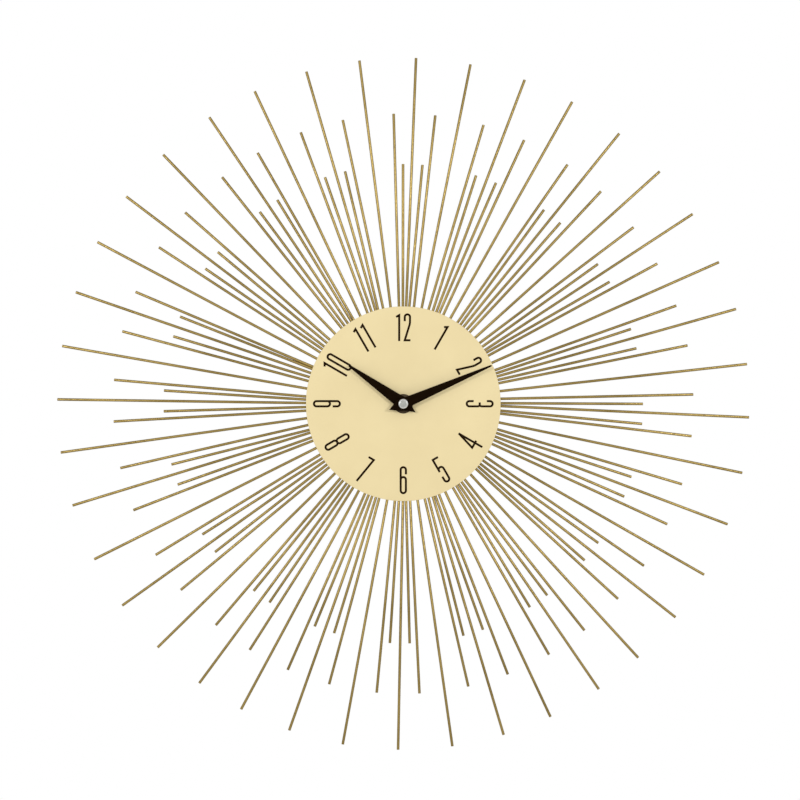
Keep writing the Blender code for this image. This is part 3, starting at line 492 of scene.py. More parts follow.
def add_piece(name, mesh, material, body, slot, *nodes, sharp_deg=35.0):
    """Adds a named piece that rides on a body, takes the given finish and stands for CAD nodes. The
    slot is not used.
    """
    mesh.name = name
    mesh.materials.clear()
    mesh.materials.append(material)
    mesh.shade_smooth()
    mesh.set_sharp_from_angle(angle=math.radians(sharp_deg))
    piece = bpy.data.objects.new(name, mesh)
    bpy.context.scene.collection.objects.link(piece)
    if nodes:
        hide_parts(*nodes)
    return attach(piece, body)


# Materials


class Finish:
    """A Principled material whose colour, roughness and relief follow noise in the piece."""

    def __init__(self, name, metallic=0.0, specular=0.5):
        self.material = bpy.data.materials.new(name)
        self.material.use_nodes = True
        self.tree = self.material.node_tree
        self.shader = self.tree.nodes["Principled BSDF"]
        self.shader.inputs["Metallic"].default_value = metallic
        self.shader.inputs["Specular IOR Level"].default_value = specular
        self.place = self.node("ShaderNodeTexCoord").outputs["Object"]
        self.normal = None

    def node(self, kind, **values):
        """Adds a node and sets its named inputs, with _ for the space in a name."""
        node = self.tree.nodes.new(kind)
        for name, value in values.items():
            node.inputs[name.replace("_", " ")].default_value = value
        return node

    def link(self, source, target):
        self.tree.links.new(source, target)

    def noise(self, size, detail=4.0, stretch=None):
        """Noise from 0 to 1 whose blotches are about this size in millimetres."""
        texture = self.node("ShaderNodeTexNoise", Scale=1.0 / (size * MM), Detail=detail)
        source = self.place
        if stretch:
            mapping = self.node("ShaderNodeMapping", Scale=stretch)
            self.link(source, mapping.inputs["Vector"])
            source = mapping.outputs["Vector"]
        self.link(source, texture.inputs["Vector"])
        return texture.outputs["Fac"]

    def axis_radius(self):
        """The distance from the hands' axis, in metres."""
        flat = self.node("ShaderNodeVectorMath")
        flat.operation = "MULTIPLY"
        flat.inputs[1].default_value = (1.0, 0.0, 1.0)
        self.link(self.place, flat.inputs[0])
        length = self.node("ShaderNodeVectorMath")
        length.operation = "LENGTH"
        self.link(flat.outputs["Vector"], length.inputs[0])
        return length.outputs["Value"]

    def spread(self, source, low, high, start=0.35, end=0.65):
        """A value that goes from low to high as the source goes from start to end."""
        ends = {"From_Min": start, "From_Max": end, "To_Min": low, "To_Max": high}
        spread = self.node("ShaderNodeMapRange", **ends)
        self.link(source, spread.inputs["Value"])
        return spread.outputs["Result"]

    def colour(self, one, two, factor):
        """Mixes two colours by a factor from 0 to 1 and feeds the shader."""
        self.link(self.mix(one, two, factor), self.shader.inputs["Base Color"])

    def mix(self, one, two, factor):
        mix = self.node("ShaderNodeMix")
        mix.data_type = "RGBA"
        sockets = [s for s in mix.inputs if s.type == "RGBA"]
        for socket, value in zip(sockets, (one, two)):
            if isinstance(value, bpy.types.NodeSocket):
                self.link(value, socket)
            else:
                socket.default_value = (*value, 1.0)
        self.link(factor, next(s for s in mix.inputs if s.type == "VALUE"))
        return next(s for s in mix.outputs if s.type == "RGBA")

    def roughness(self, low, high, source):
        self.link(self.spread(source, low, high), self.shader.inputs["Roughness"])
        return self

    def relief(self, height, distance):
        """Adds a bump of this many millimetres to the ones that are there."""
        bump = self.node("ShaderNodeBump", Distance=distance * MM)
        self.link(height, bump.inputs["Height"])
        if self.normal:
            self.link(self.normal, bump.inputs["Normal"])
        self.normal = bump.outputs["Normal"]
        self.link(self.normal, self.shader.inputs["Normal"])
        return self


def metal(name, dark, light, rough, stretch=None):
    """A metal with cloudy tarnish and a fine grain."""
    finish = Finish(name, metallic=1.0)
    cloud = finish.noise(14.0, 5.0)
    fine = finish.noise(0.35, 3.0, stretch)
    finish.colour(dark, light, finish.spread(cloud, 0.0, 1.0, 0.3, 0.7))
    finish.roughness(*rough, fine)
    return finish.relief(fine, 0.006).material


def plastic(name, dark, light, rough):
    """A moulded plastic with a fine spark-eroded texture."""
    finish = Finish(name)
    cloud = finish.noise(9.0, 3.0)
    fine = finish.noise(0.25, 2.0)
    finish.colour(dark, light, finish.spread(cloud, 0.0, 1.0))
    finish.roughness(*rough, fine)
    return finish.relief(fine, 0.01).material


def antique_gold():
    """Brass-coated steel rods, toned brown in clouds along their length."""
    finish = Finish("antique_gold", metallic=1.0)
    tone = finish.noise(38.0, 5.0)
    speck = finish.noise(1.6, 4.0)
    fine = finish.noise(0.3, 2.0)
    warm = finish.mix((0.30, 0.214, 0.068), (0.42, 0.305, 0.103), finish.spread(tone, 0.0, 1.0))
    dark_share = finish.spread(speck, 0.0, 0.55, 0.55, 0.75)
    finish.colour(warm, (0.13, 0.085, 0.028), dark_share)
    finish.roughness(0.30, 0.46, speck)
    return finish.relief(fine, 0.006).relief(speck, 0.01).material


def champagne_dial():
    """A satin gold lacquer, with a faint turned grain round the centre."""
    finish = Finish("champagne_dial", metallic=0.08, specular=0.2)
    cloud = finish.noise(45.0, 3.0)
    fine = finish.noise(0.5, 3.0)
    finish.colour((0.80, 0.666, 0.371), (0.835, 0.70, 0.395), finish.spread(cloud, 0.0, 1.0))
    finish.roughness(0.52, 0.62, fine)
    wave = finish.node("ShaderNodeTexWave", Scale=420.0, Distortion=2.5, Detail=2.0)
    wave.wave_type = "RINGS"
    wave.rings_direction = "Y"
    finish.link(finish.place, wave.inputs["Vector"])
    finish.shader.inputs["Coat Weight"].default_value = 0.05
    finish.shader.inputs["Coat Roughness"].default_value = 0.4
    return finish.relief(fine, 0.004).relief(wave.outputs["Fac"], 0.002).material


def black_paint(name, tint):
    """A dead-smooth satin black with a trace of dust in its roughness."""
    finish = Finish(name, specular=0.05)
    finish.shader.inputs["Specular Tint"].default_value = (1.0, 0.5, 0.25, 1.0)
    cloud = finish.noise(6.0, 4.0)
    fine = finish.noise(0.2, 3.0)
    finish.colour(tint, tuple(1.6 * value for value in tint), finish.spread(cloud, 0.0, 1.0))
    finish.roughness(0.42, 0.60, fine)
    return finish.relief(fine, 0.004).material


def satin_silver():
    """Turned and satin-finished, with grain in rings round the axis, and a painted highlight:
    lighter colour on the bevel round the rim.
    """
    finish = Finish("satin_silver", metallic=1.0)
    cloud = finish.noise(3.0, 3.0)
    radius = finish.axis_radius()
    rings = finish.node("ShaderNodeTexNoise", Scale=9000.0, Detail=2.0)
    rings.noise_dimensions = "1D"
    finish.link(radius, rings.inputs["W"])
    face = finish.mix((0.42, 0.43, 0.40), (0.50, 0.505, 0.47), finish.spread(cloud, 0.0, 1.0))
    # Painted highlight: the bevel round the rim is painted lighter, standing in for the bevel
    # reflecting the lamps
    rim = CAP_RADIUS - CAP_BEVEL
    painted_rim_highlight = finish.spread(radius, 0.0, 1.0, (rim - CAP_RIM_HIGHLIGHT_BLEND) * MM, rim * MM)
    finish.colour(face, (0.74, 0.74, 0.72), painted_rim_highlight)
    finish.roughness(0.24, 0.38, rings.outputs["Fac"])
    return finish.relief(rings.outputs["Fac"], 0.006).material


def gold_sheet():
    """The rods' toned brass finish on rolled sheet, with rolling marks under it."""
    finish = Finish("gold_sheet", metallic=1.0)
    tone = finish.noise(30.0, 5.0)
    speck = finish.noise(2.4, 5.0)
    rolled = finish.noise(0.6, 3.0, (0.05, 1.0, 1.0))
    warm = finish.mix((0.29, 0.206, 0.072), (0.43, 0.315, 0.12), finish.spread(tone, 0.0, 1.0))
    finish.colour(warm, (0.12, 0.08, 0.03), finish.spread(speck, 0.0, 0.6, 0.56, 0.8))
    finish.roughness(0.32, 0.48, rolled)
    return finish.relief(rolled, 0.008).relief(speck, 0.02).material


def wound_wire():
    """Enamelled copper wire in close turns along the coil's axis."""
    finish = Finish("wound_wire", metallic=0.9)
    turns = finish.node("ShaderNodeTexWave", Scale=1400.0, Distortion=0.6)
    turns.bands_direction = "Z"
    finish.link(finish.place, turns.inputs["Vector"])
    cloud = finish.noise(2.0, 3.0)
    finish.colour((0.34, 0.11, 0.035), (0.62, 0.26, 0.09), turns.outputs["Fac"])
    finish.roughness(0.26, 0.42, cloud)
    return finish.relief(turns.outputs["Fac"], 0.05).material


def circuit_green():
    """Solder mask over copper tracks, which show as raised, lighter lines."""
    finish = Finish("circuit_green")
    lines = {"Mortar_Size": 0.05, "Mortar_Smooth": 0.3}
    tracks = finish.node("ShaderNodeTexBrick", Scale=1.0 / (9.0 * MM), **lines)
    turn = finish.node("ShaderNodeMapping", Rotation=(math.radians(90.0), 0.0, 0.0))
    finish.link(finish.place, turn.inputs["Vector"])
    finish.link(turn.outputs["Vector"], tracks.inputs["Vector"])
    fine = finish.noise(0.3, 3.0)
    finish.colour((0.015, 0.10, 0.035), (0.05, 0.24, 0.09), tracks.outputs["Fac"])
    finish.roughness(0.30, 0.45, fine)
    return finish.relief(tracks.outputs["Fac"], 0.03).material


def cell_sleeve():
    """A shrunk plastic sleeve, dark with a pale band at its plus end."""
    finish = Finish("cell_sleeve")
    split = finish.node("ShaderNodeSeparateXYZ")
    finish.link(finish.place, split.inputs["Vector"])
    along = split.outputs["X"]
    ripple = finish.noise(3.0, 4.0, (0.3, 1.0, 1.0))
    fine = finish.noise(0.4, 2.0)
    band = finish.spread(along, 0.0, 1.0, *(edge * MM for edge in CELL_BAND))
    sleeve = finish.mix((0.035, 0.055, 0.085), (0.36, 0.38, 0.40), band)
    finish.colour(sleeve, (0.10, 0.12, 0.15), finish.spread(fine, 0.0, 0.15))
    finish.roughness(0.22, 0.36, fine)
    return finish.relief(ripple, 0.06).material


def make_finishes():
    steel = ((0.46, 0.46, 0.45), (0.60, 0.60, 0.585))
    return {
        "rods": antique_gold(),
        "dial": champagne_dial(),
        "hub": gold_sheet(),
        "ink": black_paint("numeral_ink", (0.010, 0.005, 0.0015)),
        "hands": black_paint("hand_black", (0.0035, 0.0018, 0.0007)),
        "dark_metal": metal("dark_bronze", (0.05, 0.036, 0.022), (0.10, 0.075, 0.048), (0.3, 0.45)),
        "cap": satin_silver(),
        "brass": metal("machined_brass", (0.45, 0.30, 0.11), (0.66, 0.48, 0.21), (0.22, 0.38)),
        "rubber": plastic("washer_rubber", (0.012, 0.012, 0.012), (0.03, 0.03, 0.03), (0.7, 0.9)),
        "case": plastic("case_black", (0.011, 0.011, 0.012), (0.02, 0.02, 0.022), (0.42, 0.6)),
        "wheel": plastic("wheel_acetal", (0.62, 0.60, 0.53), (0.74, 0.72, 0.65), (0.35, 0.5)),
        "knob": plastic("knob_grey", (0.10, 0.10, 0.11), (0.15, 0.15, 0.16), (0.4, 0.55)),
        "spring_steel": metal("spring_steel", *steel, (0.25, 0.42), stretch=(1.0, 1.0, 0.08)),
        "magnet_steel": metal("motor_steel", (0.22, 0.22, 0.22), (0.36, 0.36, 0.355), (0.4, 0.55)),
        "copper": wound_wire(),
        "board": circuit_green(),
        "chip": plastic("chip_resin", (0.006, 0.006, 0.006), (0.014, 0.014, 0.014), (0.2, 0.4)),
        "cell": cell_sleeve(),
        "cell_ends": metal("cell_ends", (0.50, 0.50, 0.49), (0.68, 0.68, 0.67), (0.22, 0.34)),
    }


# The burst


def fan_directions(wander):
    """Each fan's direction: an even pitch, a slow sway round the burst and a little wander."""
    directions = []
    for k in range(FAN_COUNT):
        even = FAN_PITCH_DEG * k
        sway = BURST_SWAY_DEG * math.cos(math.radians(even - BURST_SWAY_TOWARD_DEG))
        off = wander.uniform(-FAN_WANDER_DEG, FAN_WANDER_DEG)
        directions.append(even + BURST_TURN_DEG + sway + off)
    return directions


def rod_ends(direction_deg, reach, offset, root_shift):
    """Both ends of a rod, set off sideways from the centre and a little further at its root."""
    ends = []
    for distance, aside in ((ROD_ROOT_RADIUS, offset + root_shift), (reach, offset)):
        along = clock_polar(direction_deg, distance)
        across = clock_polar(direction_deg + 90.0, aside)
        ends.append((along[0] + across[0], along[1] + across[1]))
    return ends


def fan_rods(direction_deg, wander):
    """Both ends of each of the five rods of a fan and of the lone one beside it."""
    layout = (
        (-MEDIUM_ROD_DEG, MEDIUM_REACH, -MEDIUM_ROD_OFFSET),
        (-SHORT_ROD_DEG, SHORT_REACH, -SHORT_ROD_OFFSET),
        (0.0, LONG_REACH, 0.0),
        (SHORT_ROD_DEG, SHORT_REACH, SHORT_ROD_OFFSET),
        (MEDIUM_ROD_DEG, MEDIUM_REACH, MEDIUM_ROD_OFFSET),
        (FAN_PITCH_DEG / 2, LONG_REACH, 0.0),
    )
    rods = []
    for turn, reach, offset in layout:
        off = wander.uniform(-ROD_WANDER_DEG, ROD_WANDER_DEG)
        root_shift = ROOT_SWIRL + wander.uniform(-ROOT_WANDER, ROOT_WANDER)
        rods.append(rod_ends(direction_deg + turn + off, reach, offset, root_shift))
    return rods


def strap_mesh(direction_deg):
    """The flat curved strap behind the roots of one fan, with rounded corners."""
    inner_radius, outer_radius = STRAP_RADII
    start, end = (direction_deg + turn for turn in STRAP_TURNS_DEG)
    turns = [start + (end - start) * k / STRAP_STEPS for k in range(STRAP_STEPS + 1)]
    outer = [clock_polar(turn, outer_radius) for turn in turns]
    inner = [clock_polar(turn, inner_radius) for turn in reversed(turns)]
    return bevelled(prism([outer + inner], *STRAP_DEPTHS), STRAP_EDGE, angle_deg=50.0)


def add_burst(finishes):
    wander = random.Random(WANDER_SEED)
    for number, direction in enumerate(fan_directions(wander), start=1):
        rods = [rod_mesh(start, end, ROD_AXIS_DEPTH) for start, end in fan_rods(direction, wander)]
        fan = joined(strap_mesh(direction), *rods)
        name = f"ray_fan_{number:02d}"
        add_piece(f"rays_{number:02d}", fan, finishes["rods"], "movement", "rods", name)


# The numerals


def offset_side(points, distance, closed):
    """The line moved sideways by this distance, with mitred corners."""
    line = [Vector(point) for point in points]
    count = len(line)
    side = []
    for k, point in enumerate(line):
        before = line[k - 1] if closed or k > 0 else None
        after = line[(k + 1) % count] if closed or k < count - 1 else None
        normals = []
        for one, two in ((before, point), (point, after)):
            if one is not None and two is not None:
                along = (two - one).normalized()
                normals.append(Vector((-along.y, along.x)))
        middle = sum(normals, Vector((0.0, 0.0))).normalized()
        side.append(point + middle * distance / max(middle.dot(normals[0]), MITRE_LIMIT))
    return side


def stroke_outlines(points, closed):
    """The outline, or the outline and its hole, of a stroke drawn along the points."""
    left = offset_side(points, NUMERAL_STROKE / 2, closed)
    right = offset_side(points, -NUMERAL_STROKE / 2, closed)
    if closed:
        return [left, right]
    return [left + right[::-1]]


def glyph_strokes():
    """Each digit as (points, closed) strokes of a tall, narrow, even-lined hand."""
    w, h = GLYPH_HALF_WIDTH, GLYPH_HALF_HEIGHT
    top = arc((0.0, h - w), w, 180.0, 0.0)
    bottom = arc((0.0, w - h), w, 0.0, -180.0)
    waist = arc((0.0, w), w, 360.0, 180.0)
    lower_waist = arc((0.0, -w), w, 180.0, 0.0)
    loop_at = GLYPH_ROUND_END - w
    loop = arc((0.0, loop_at), w, 0.0, 180.0)
    spine = [(w, h - 6.3)] + top[::-1] + bottom[::-1] + [(w, loop_at)]
    closing = [(w, loop_at - 1.0)] + loop[:-1]
    return {
        "0": [(top + bottom, True)],
        "1": [([(-2.7, h - 2.3), (0.0, h - 0.7), (0.0, -h - 0.7)], False)],
        "2": [([(-w, h - 6.0)] + top + bend((w, h - 6.0), (w, h - 8.0), (w - 0.6, h - 9.9))
               + [(-w, -h), (w + 0.4, -h)], False)],
        "3": [([(-w, h - 5.1)] + top + bend((w, 2.2), (w, 0.0), (w - 1.6, 0.0)), False),
              (bend((w - 1.6, 0.0), (w, 0.0), (w, -2.2)) + bottom + [(-w, 6.1 - h)], False),
              ([(w - 1.0, 0.0), (-1.2, 0.0)], False)],
        "4": [([(1.7, h + 0.7), (1.7, -h - 0.7)], False),
              ([(1.7, h + 0.2), (-3.2, -4.6), (3.9, -4.6)], False)],
        "5": [([(w + 0.7, h), (-w, h), (-w, -0.9)], False),
              ([(-w, loop_at - 1.0)] + loop[::-1] + bottom + [(-w, 5.9 - h)], False)],
        "6": [(spine, False), (closing, False)],
        "7": [([(-w - 0.7, h), (w, h), (-1.6, -h - 0.7)], False)],
        "8": [(top + waist, True), (lower_waist + bottom, True)],
        "9": [([(-x, -z) for x, z in stroke], False) for stroke in (spine, closing)],
    }


def numeral_mesh(number, glyphs):
    """One hour's digits, their tops outward from 9 round to 3 and towards the centre below."""
    angle = HOUR_PITCH_DEG * number
    centre = clock_polar(angle, NUMERAL_RADIUS)
    up_deg = angle + 180.0 if number in INWARD_HOURS else angle
    digits = str(number)
    meshes = []
    for place, digit in enumerate(digits):
        shift = DIGIT_SPACING * (place - (len(digits) - 1) / 2)
        for points, closed in glyphs[digit]:
            flat = []
            for outline in stroke_outlines(points, closed):
                turned_points = turned_outline([(p.x + shift, p.y) for p in outline], up_deg)
                flat.append([(centre[0] + x, centre[1] + z) for x, z in turned_points])
            front = DIAL_DEPTHS[1] + NUMERAL_THICKNESS
            meshes.append(prism(flat, DIAL_DEPTHS[1] - NUMERAL_THICKNESS / 2, front))
    return joined(*meshes)


def add_numerals(finishes):
    glyphs = glyph_strokes()
    bm = bmesh.new()
    for number in range(1, 13):
        bm.from_mesh(numeral_mesh(number, glyphs))
    mesh = finish_mesh(bm, "numerals")
    add_piece("numerals", mesh, finishes["ink"], "movement", "hands")


# The dial and its clamp


def add_dial(finishes):
    mesh = ring(SHAFT_HOLE_RADIUS, DIAL_RADIUS, DIAL_DEPTHS, DIAL_EDGE_ROUND, DIAL_SIDES)
    add_piece("dial_disc", mesh, finishes["dial"], "movement", "dial", "dial")


def add_hub(finishes):
    """A stamped plate whose flange is spot-welded to the straps, which leaves dents behind."""
    boss_back = HUB_BOSS_FRONT_DEPTH - HUB_THICKNESS
    flange_back = HUB_FLANGE_FRONT_DEPTH - HUB_THICKNESS
    corners = [
        (SHAFT_HOLE_RADIUS, boss_back),
        (HUB_BOSS_RADIUS, boss_back),
        (HUB_FLANGE_RADIUS, flange_back),
        (HUB_OUTER_RADIUS, flange_back),
        (HUB_OUTER_RADIUS, HUB_FLANGE_FRONT_DEPTH),
        (HUB_FLANGE_RADIUS + HUB_BEND_SHIFT, HUB_FLANGE_FRONT_DEPTH),
        (HUB_BOSS_RADIUS + HUB_BEND_SHIFT, HUB_BOSS_FRONT_DEPTH),
        (SHAFT_HOLE_RADIUS, HUB_BOSS_FRONT_DEPTH),
    ]
    bends = softened(corners, HUB_BEND_ROUND)
    past_welds = next(k for k, point in enumerate(bends) if point[0] > WELD_CIRCLE_RADIUS)
    weld_rows = [WELD_CIRCLE_RADIUS + WELD_RADIUS * k / 2 for k in range(-2, 3)]
    profile = bends[:past_welds] + [(row, flange_back) for row in weld_rows] + bends[past_welds:]
    mesh = turned(profile, HUB_SIDES, closed=True)
    dent_welds(mesh, flange_back)
    add_piece("hub_disc", mesh, finishes["hub"], "movement", "hub", "hub_plate")


def dent_welds(mesh, flange_back):
    """Presses a shallow round dent into the flange's back at each spot weld."""
    wander = random.Random(WANDER_SEED)
    welds = []
    for direction in fan_directions(wander):
        for k in range(WELDS_PER_FAN):
            share = (k + 0.5) / WELDS_PER_FAN
            turn = STRAP_TURNS_DEG[0] + share * (STRAP_TURNS_DEG[1] - STRAP_TURNS_DEG[0])
            welds.append(Vector(clock_polar(direction + turn, WELD_CIRCLE_RADIUS)))
    for vert in mesh.vertices:
        if abs(vert.co.y / MM + flange_back) > FLAT_TOLERANCE:
            continue
        point = Vector((vert.co.x, vert.co.z)) / MM
        off = min((point - weld).length for weld in welds) / WELD_RADIUS
        if off < 1.0:
            vert.co.y -= WELD_DENT * (1.0 - off * off) * MM


def nut_mesh():
    """A hexagon nut with its corners turned off on both faces and its bore countersunk."""
    back, front = NUT_DEPTHS
    flat = NUT_ACROSS_FLATS / 2
    corner = flat / math.cos(math.radians(30.0))
    face = flat - NUT_FACE_INSET
    outside = corner + NUT_CORNER_CLEAR
    hexagon = prism([circle(corner, 6)], back - OVERCUT, front + OVERCUT)
    turning = [(0.0, back), (face, back), (outside, back + NUT_CHAMFER)]
    turning += [(outside, front - NUT_CHAMFER), (face, front), (0.0, front)]
    hole = SHAFT_HOLE_RADIUS
    bore = [(0.0, back - OVERCUT), (hole, back - OVERCUT), (hole, front - NUT_SINK)]
    bore += [(hole + NUT_SINK + OVERCUT, front + OVERCUT), (0.0, front + OVERCUT)]
    nut = combined(hexagon, [turned(turning, TURNED_SIDES)], "INTERSECT")
    return cut(nut, turned(bore, RUBBER_SIDES))


def bush_mesh():
    """The brass bush, with a screw thread where the nut runs."""
    bm = bmesh.new()
    rings = []

    def add_ring(radius, depth, groove=0.0):
        """A ring of points, which dips by the groove's depth once on its way round."""
        points = []
        for k in range(HOLE_SIDES):
            share = (depth / THREAD_PITCH + k / HOLE_SIDES) % 1.0
            dip = groove * (1.0 - abs(2.0 * share - 1.0))
            x, z = polar(360.0 * k / HOLE_SIDES, radius - dip)
            points.append(bm.verts.new(Vector((x, -depth, z)) * MM))
        rings.append(points)

    flange_back, flange_front = BUSH_FLANGE_DEPTHS
    add_ring(BUSH_BORE_RADIUS, flange_back)
    add_ring(BUSH_FLANGE_RADIUS, flange_back)
    add_ring(BUSH_FLANGE_RADIUS, flange_front)
    add_ring(BUSH_RADIUS, flange_front)
    add_ring(BUSH_RADIUS, THREAD_START_DEPTH)
    length = BUSH_TIP_DEPTH - THREAD_START_DEPTH
    steps = round(length / THREAD_PITCH * THREAD_STEPS)
    for k in range(1, steps):
        add_ring(BUSH_RADIUS, THREAD_START_DEPTH + length * k / steps, THREAD_DEPTH)
    add_ring(BUSH_RADIUS - THREAD_DEPTH, BUSH_TIP_DEPTH)
    add_ring(BUSH_BORE_RADIUS, BUSH_TIP_DEPTH)
    loft(bm, rings + rings[:1])
    return finish_mesh(bm)


def add_clamp(finishes):
    rubber = ring(SHAFT_HOLE_RADIUS, RUBBER_RADIUS, RUBBER_DEPTHS, RUBBER_EDGE, RUBBER_SIDES)
    add_piece("rubber_ring", rubber, finishes["rubber"], "movement", "rubber", "rubber_washer")
    washer = ring(SHAFT_HOLE_RADIUS, WASHER_RADIUS, WASHER_DEPTHS, WASHER_EDGE, TURNED_SIDES)
    dark = finishes["dark_metal"]
    add_piece("washer_disc", washer, dark, "movement", "dark_metal", "dial_washer")
    add_piece("nut", nut_mesh(), dark, "movement", "dark_metal", "hex_nut", sharp_deg=20.0)
    add_piece("bush", bush_mesh(), finishes["brass"], "movement", "brass", "threaded_bush")


# The hands


def hand_mesh(hand, angle_deg, depth, hole_radius):
    outline = turned_outline(hand_outline(hand), angle_deg)
    hole = circle(hole_radius, HOLE_SIDES)
    plate = prism([outline, hole], depth, depth + HAND_THICKNESS)
    return bevelled(plate, HAND_EDGE, angle_deg=20.0)


def add_hands(finishes):
    black = finishes["hands"]
    hour = hand_mesh(HOUR_HAND, HOUR_ANGLE_DEG, HOUR_HAND_DEPTH, HOUR_HOLE_RADIUS)
    add_piece("hour_pointer", hour, black, "hour", "hands", "hour_hand")
    minute = hand_mesh(MINUTE_HAND, MINUTE_ANGLE_DEG, MINUTE_HAND_DEPTH, MINUTE_HOLE_RADIUS)
    add_piece("minute_pointer", minute, black, "minute", "hands", "minute_hand")
    add_piece("cap", cap_mesh(), finishes["cap"], "minute", "cap", "centre_cap")


def cap_mesh():
    """The turned cap, a bevelled button with a socket that sits on the minute arbor."""
    back, front = CAP_DEPTHS
    socket = front - CAP_FRONT_WALL
    corners = [(CAP_RADIUS - CAP_BEVEL, front), (CAP_RADIUS, front - CAP_BEVEL_DEPTH)]
    corners += [(CAP_RADIUS, back), (MINUTE_HOLE_RADIUS, back), (MINUTE_HOLE_RADIUS, socket)]
    near_axis = 0.5
    rim = softened([(near_axis, front)] + corners + [(near_axis, socket)], CAP_EDGE)
    per_corner = len(rim) // (len(corners) + 2)
    profile = [(0.0, front)] + rim[per_corner:-per_corner] + [(0.0, socket)]
    return turned(profile, TURNED_SIDES)


# The case, the cell and the hanger


def box(low, high, depths):
    return prism([rectangle(low, high)], *depths)


def disc(point, radius, depths):
    return shifted(prism([circle(radius, HOLE_SIDES)], *depths), x=point[0], z=point[1])


def axis_points(frame):
    """Where each joint's axis stands, as an (x, z) point."""
    points = {}
    for joint in frame["joints"]:
        x, _, z = joint["pos_m"]
        points[joint["name"]] = (x / MM, z / MM)
    return points


def case_posts():
    """The posts inside the case that carry the back and the train plate."""
    root = CASE_INNER_FRONT_DEPTH + POST_ROOT
    posts = []
    for points, end in ((BACK_POSTS, BACK_THICKNESS), (PLATE_POSTS, PLATE_FRONT_DEPTH)):
        posts += [disc(point, POST_RADIUS, (end + BACK_GAP, root)) for point in points]
    return posts


def case_mesh(axes):
    """The moulded case: a rounded tray with a closed works space and an open battery bay."""
    inner = CASE_INNER_HALF
    front = CASE_INNER_FRONT_DEPTH
    square = bar((0.0, 0.0), CASE_HALF, CASE_HALF)
    outline = softened(square, CASE_CORNER_RADIUS, steps=8)
    block = prism([outline], 0.0, CASE_FRONT_DEPTH)
    block = bevelled(block, CASE_EDGE, segments=3, angle_deg=60.0)
    open_depths = (-OVERCUT, front)
    works = box((-inner, BAY_WALL_TOP), (inner, inner), open_depths)
    bay_outline = softened(rectangle((-inner, -inner), (inner, BAY_TOP)), BAY_CORNER_RADIUS)
    bay = prism([bay_outline], -OVERCUT, BAY_FRONT_DEPTH)
    low, high = BAY_TOP - OVERCUT, BAY_WALL_TOP + OVERCUT
    left_gap = box((-inner, low), (BAY_WALL_ENDS[0], high), open_depths)
    right_gap = box((BAY_WALL_ENDS[1], low), (inner, high), open_depths)
    tray = joined(cut(block, works, bay, left_gap, right_gap), *case_posts())
    through = (front - OVERCUT, CASE_FRONT_DEPTH + OVERCUT)
    seat = (front - OVERCUT, FRONT_PIVOT_SEAT_DEPTH)
    return cut(
        tray,
        disc(axes["minute_turn"], BUSH_RADIUS + BUSH_HOLE_GAP, through),
        disc(axes["motion_turn"], PIVOT_HOLE_RADIUS, seat),
        disc(axes["knob_turn"], PIVOT_HOLE_RADIUS, seat),
        *snap_pockets(),
    )


def snap_pockets():
    """The pockets in the case's side walls, where the hooks of a snap-in back would catch."""
    pockets = []
    for side in (1, -1):
        for height in SNAP_HEIGHTS:
            outline = bar((side * CASE_HALF, height), SNAP_DEEP, SNAP_LONG / 2)
            pockets.append(prism([outline], *SNAP_DEPTHS))
    return pockets


def back_mesh(axes):
    """The snap-in back, with a well for the setting knob and a recess for a label."""
    half = CASE_INNER_HALF - BACK_GAP
    corners = rectangle((-half, BAY_WALL_TOP + BACK_GAP), (half, half))
    outline = softened(corners, BACK_CORNER_RADIUS)
    plate = bevelled(prism([outline], 0.0, BACK_THICKNESS), BACK_EDGE, angle_deg=50.0)
    knob = axes["knob_turn"]
    well_front = KNOB_WELL_DEPTH + KNOB_WELL_FLOOR
    well = disc(knob, KNOB_WELL_RADIUS + KNOB_WELL_WALL, (BACK_GAP, well_front))
    shaft_depths = (KNOB_WELL_DEPTH - OVERCUT, well_front + OVERCUT)
    label = softened(rectangle(*LABEL_RECESS), LABEL_CORNER_RADIUS)
    return cut(
        joined(plate, well),
        disc(knob, KNOB_WELL_RADIUS, (-OVERCUT, KNOB_WELL_DEPTH)),
        disc(knob, KNOB_SHAFT_HOLE_RADIUS, shaft_depths),
        prism([label], -OVERCUT, LABEL_SUNK),
        *back_pivot_seats(axes),
        *turn_arrow(knob),
        *battery_sign(),
    )


def back_pivot_seats(axes):
    """Cutters for the blind holes that the train's pivots turn in."""
    top = BACK_THICKNESS + OVERCUT
    names = ("third_turn", "fourth_turn", "intermediate_turn", "rotor_turn")
    seats = [disc(axes[name], PIVOT_HOLE_RADIUS, (BACK_PIVOT_SEAT_DEPTH, top)) for name in names]
    centre_depths = (CENTRE_PIVOT_SEAT_DEPTH, top)
    return seats + [disc(axes["minute_turn"], CENTRE_PIVOT_HOLE_RADIUS, centre_depths)]


def turn_arrow(knob):
    """Cutters for the double-ended arrow that is sunk round the setting knob."""
    radius = KNOB_WELL_RADIUS + ARROW_GAP
    start, end = ARROW_SPAN_DEG
    band = arc((0.0, 0.0), radius + SIGN_LINE / 2, start, end, ARROW_STEPS)
    band += arc((0.0, 0.0), radius - SIGN_LINE / 2, end, start, ARROW_STEPS)
    outlines = [band]
    for tip, turn in ((end, ARROW_HEAD_DEG), (start, -ARROW_HEAD_DEG)):
        wings = [polar(tip, radius - ARROW_HEAD_HALF), polar(tip, radius + ARROW_HEAD_HALF)]
        outlines.append(wings + [polar(tip + turn, radius)])
    return [shifted(cutter, x=knob[0], z=knob[1]) for cutter in sunk(outlines)]


def sunk(outlines):
    """A cutter for each outline, to the depth of the signs on the case's back."""
    return [prism([outline], -OVERCUT, SIGN_SUNK) for outline in outlines]


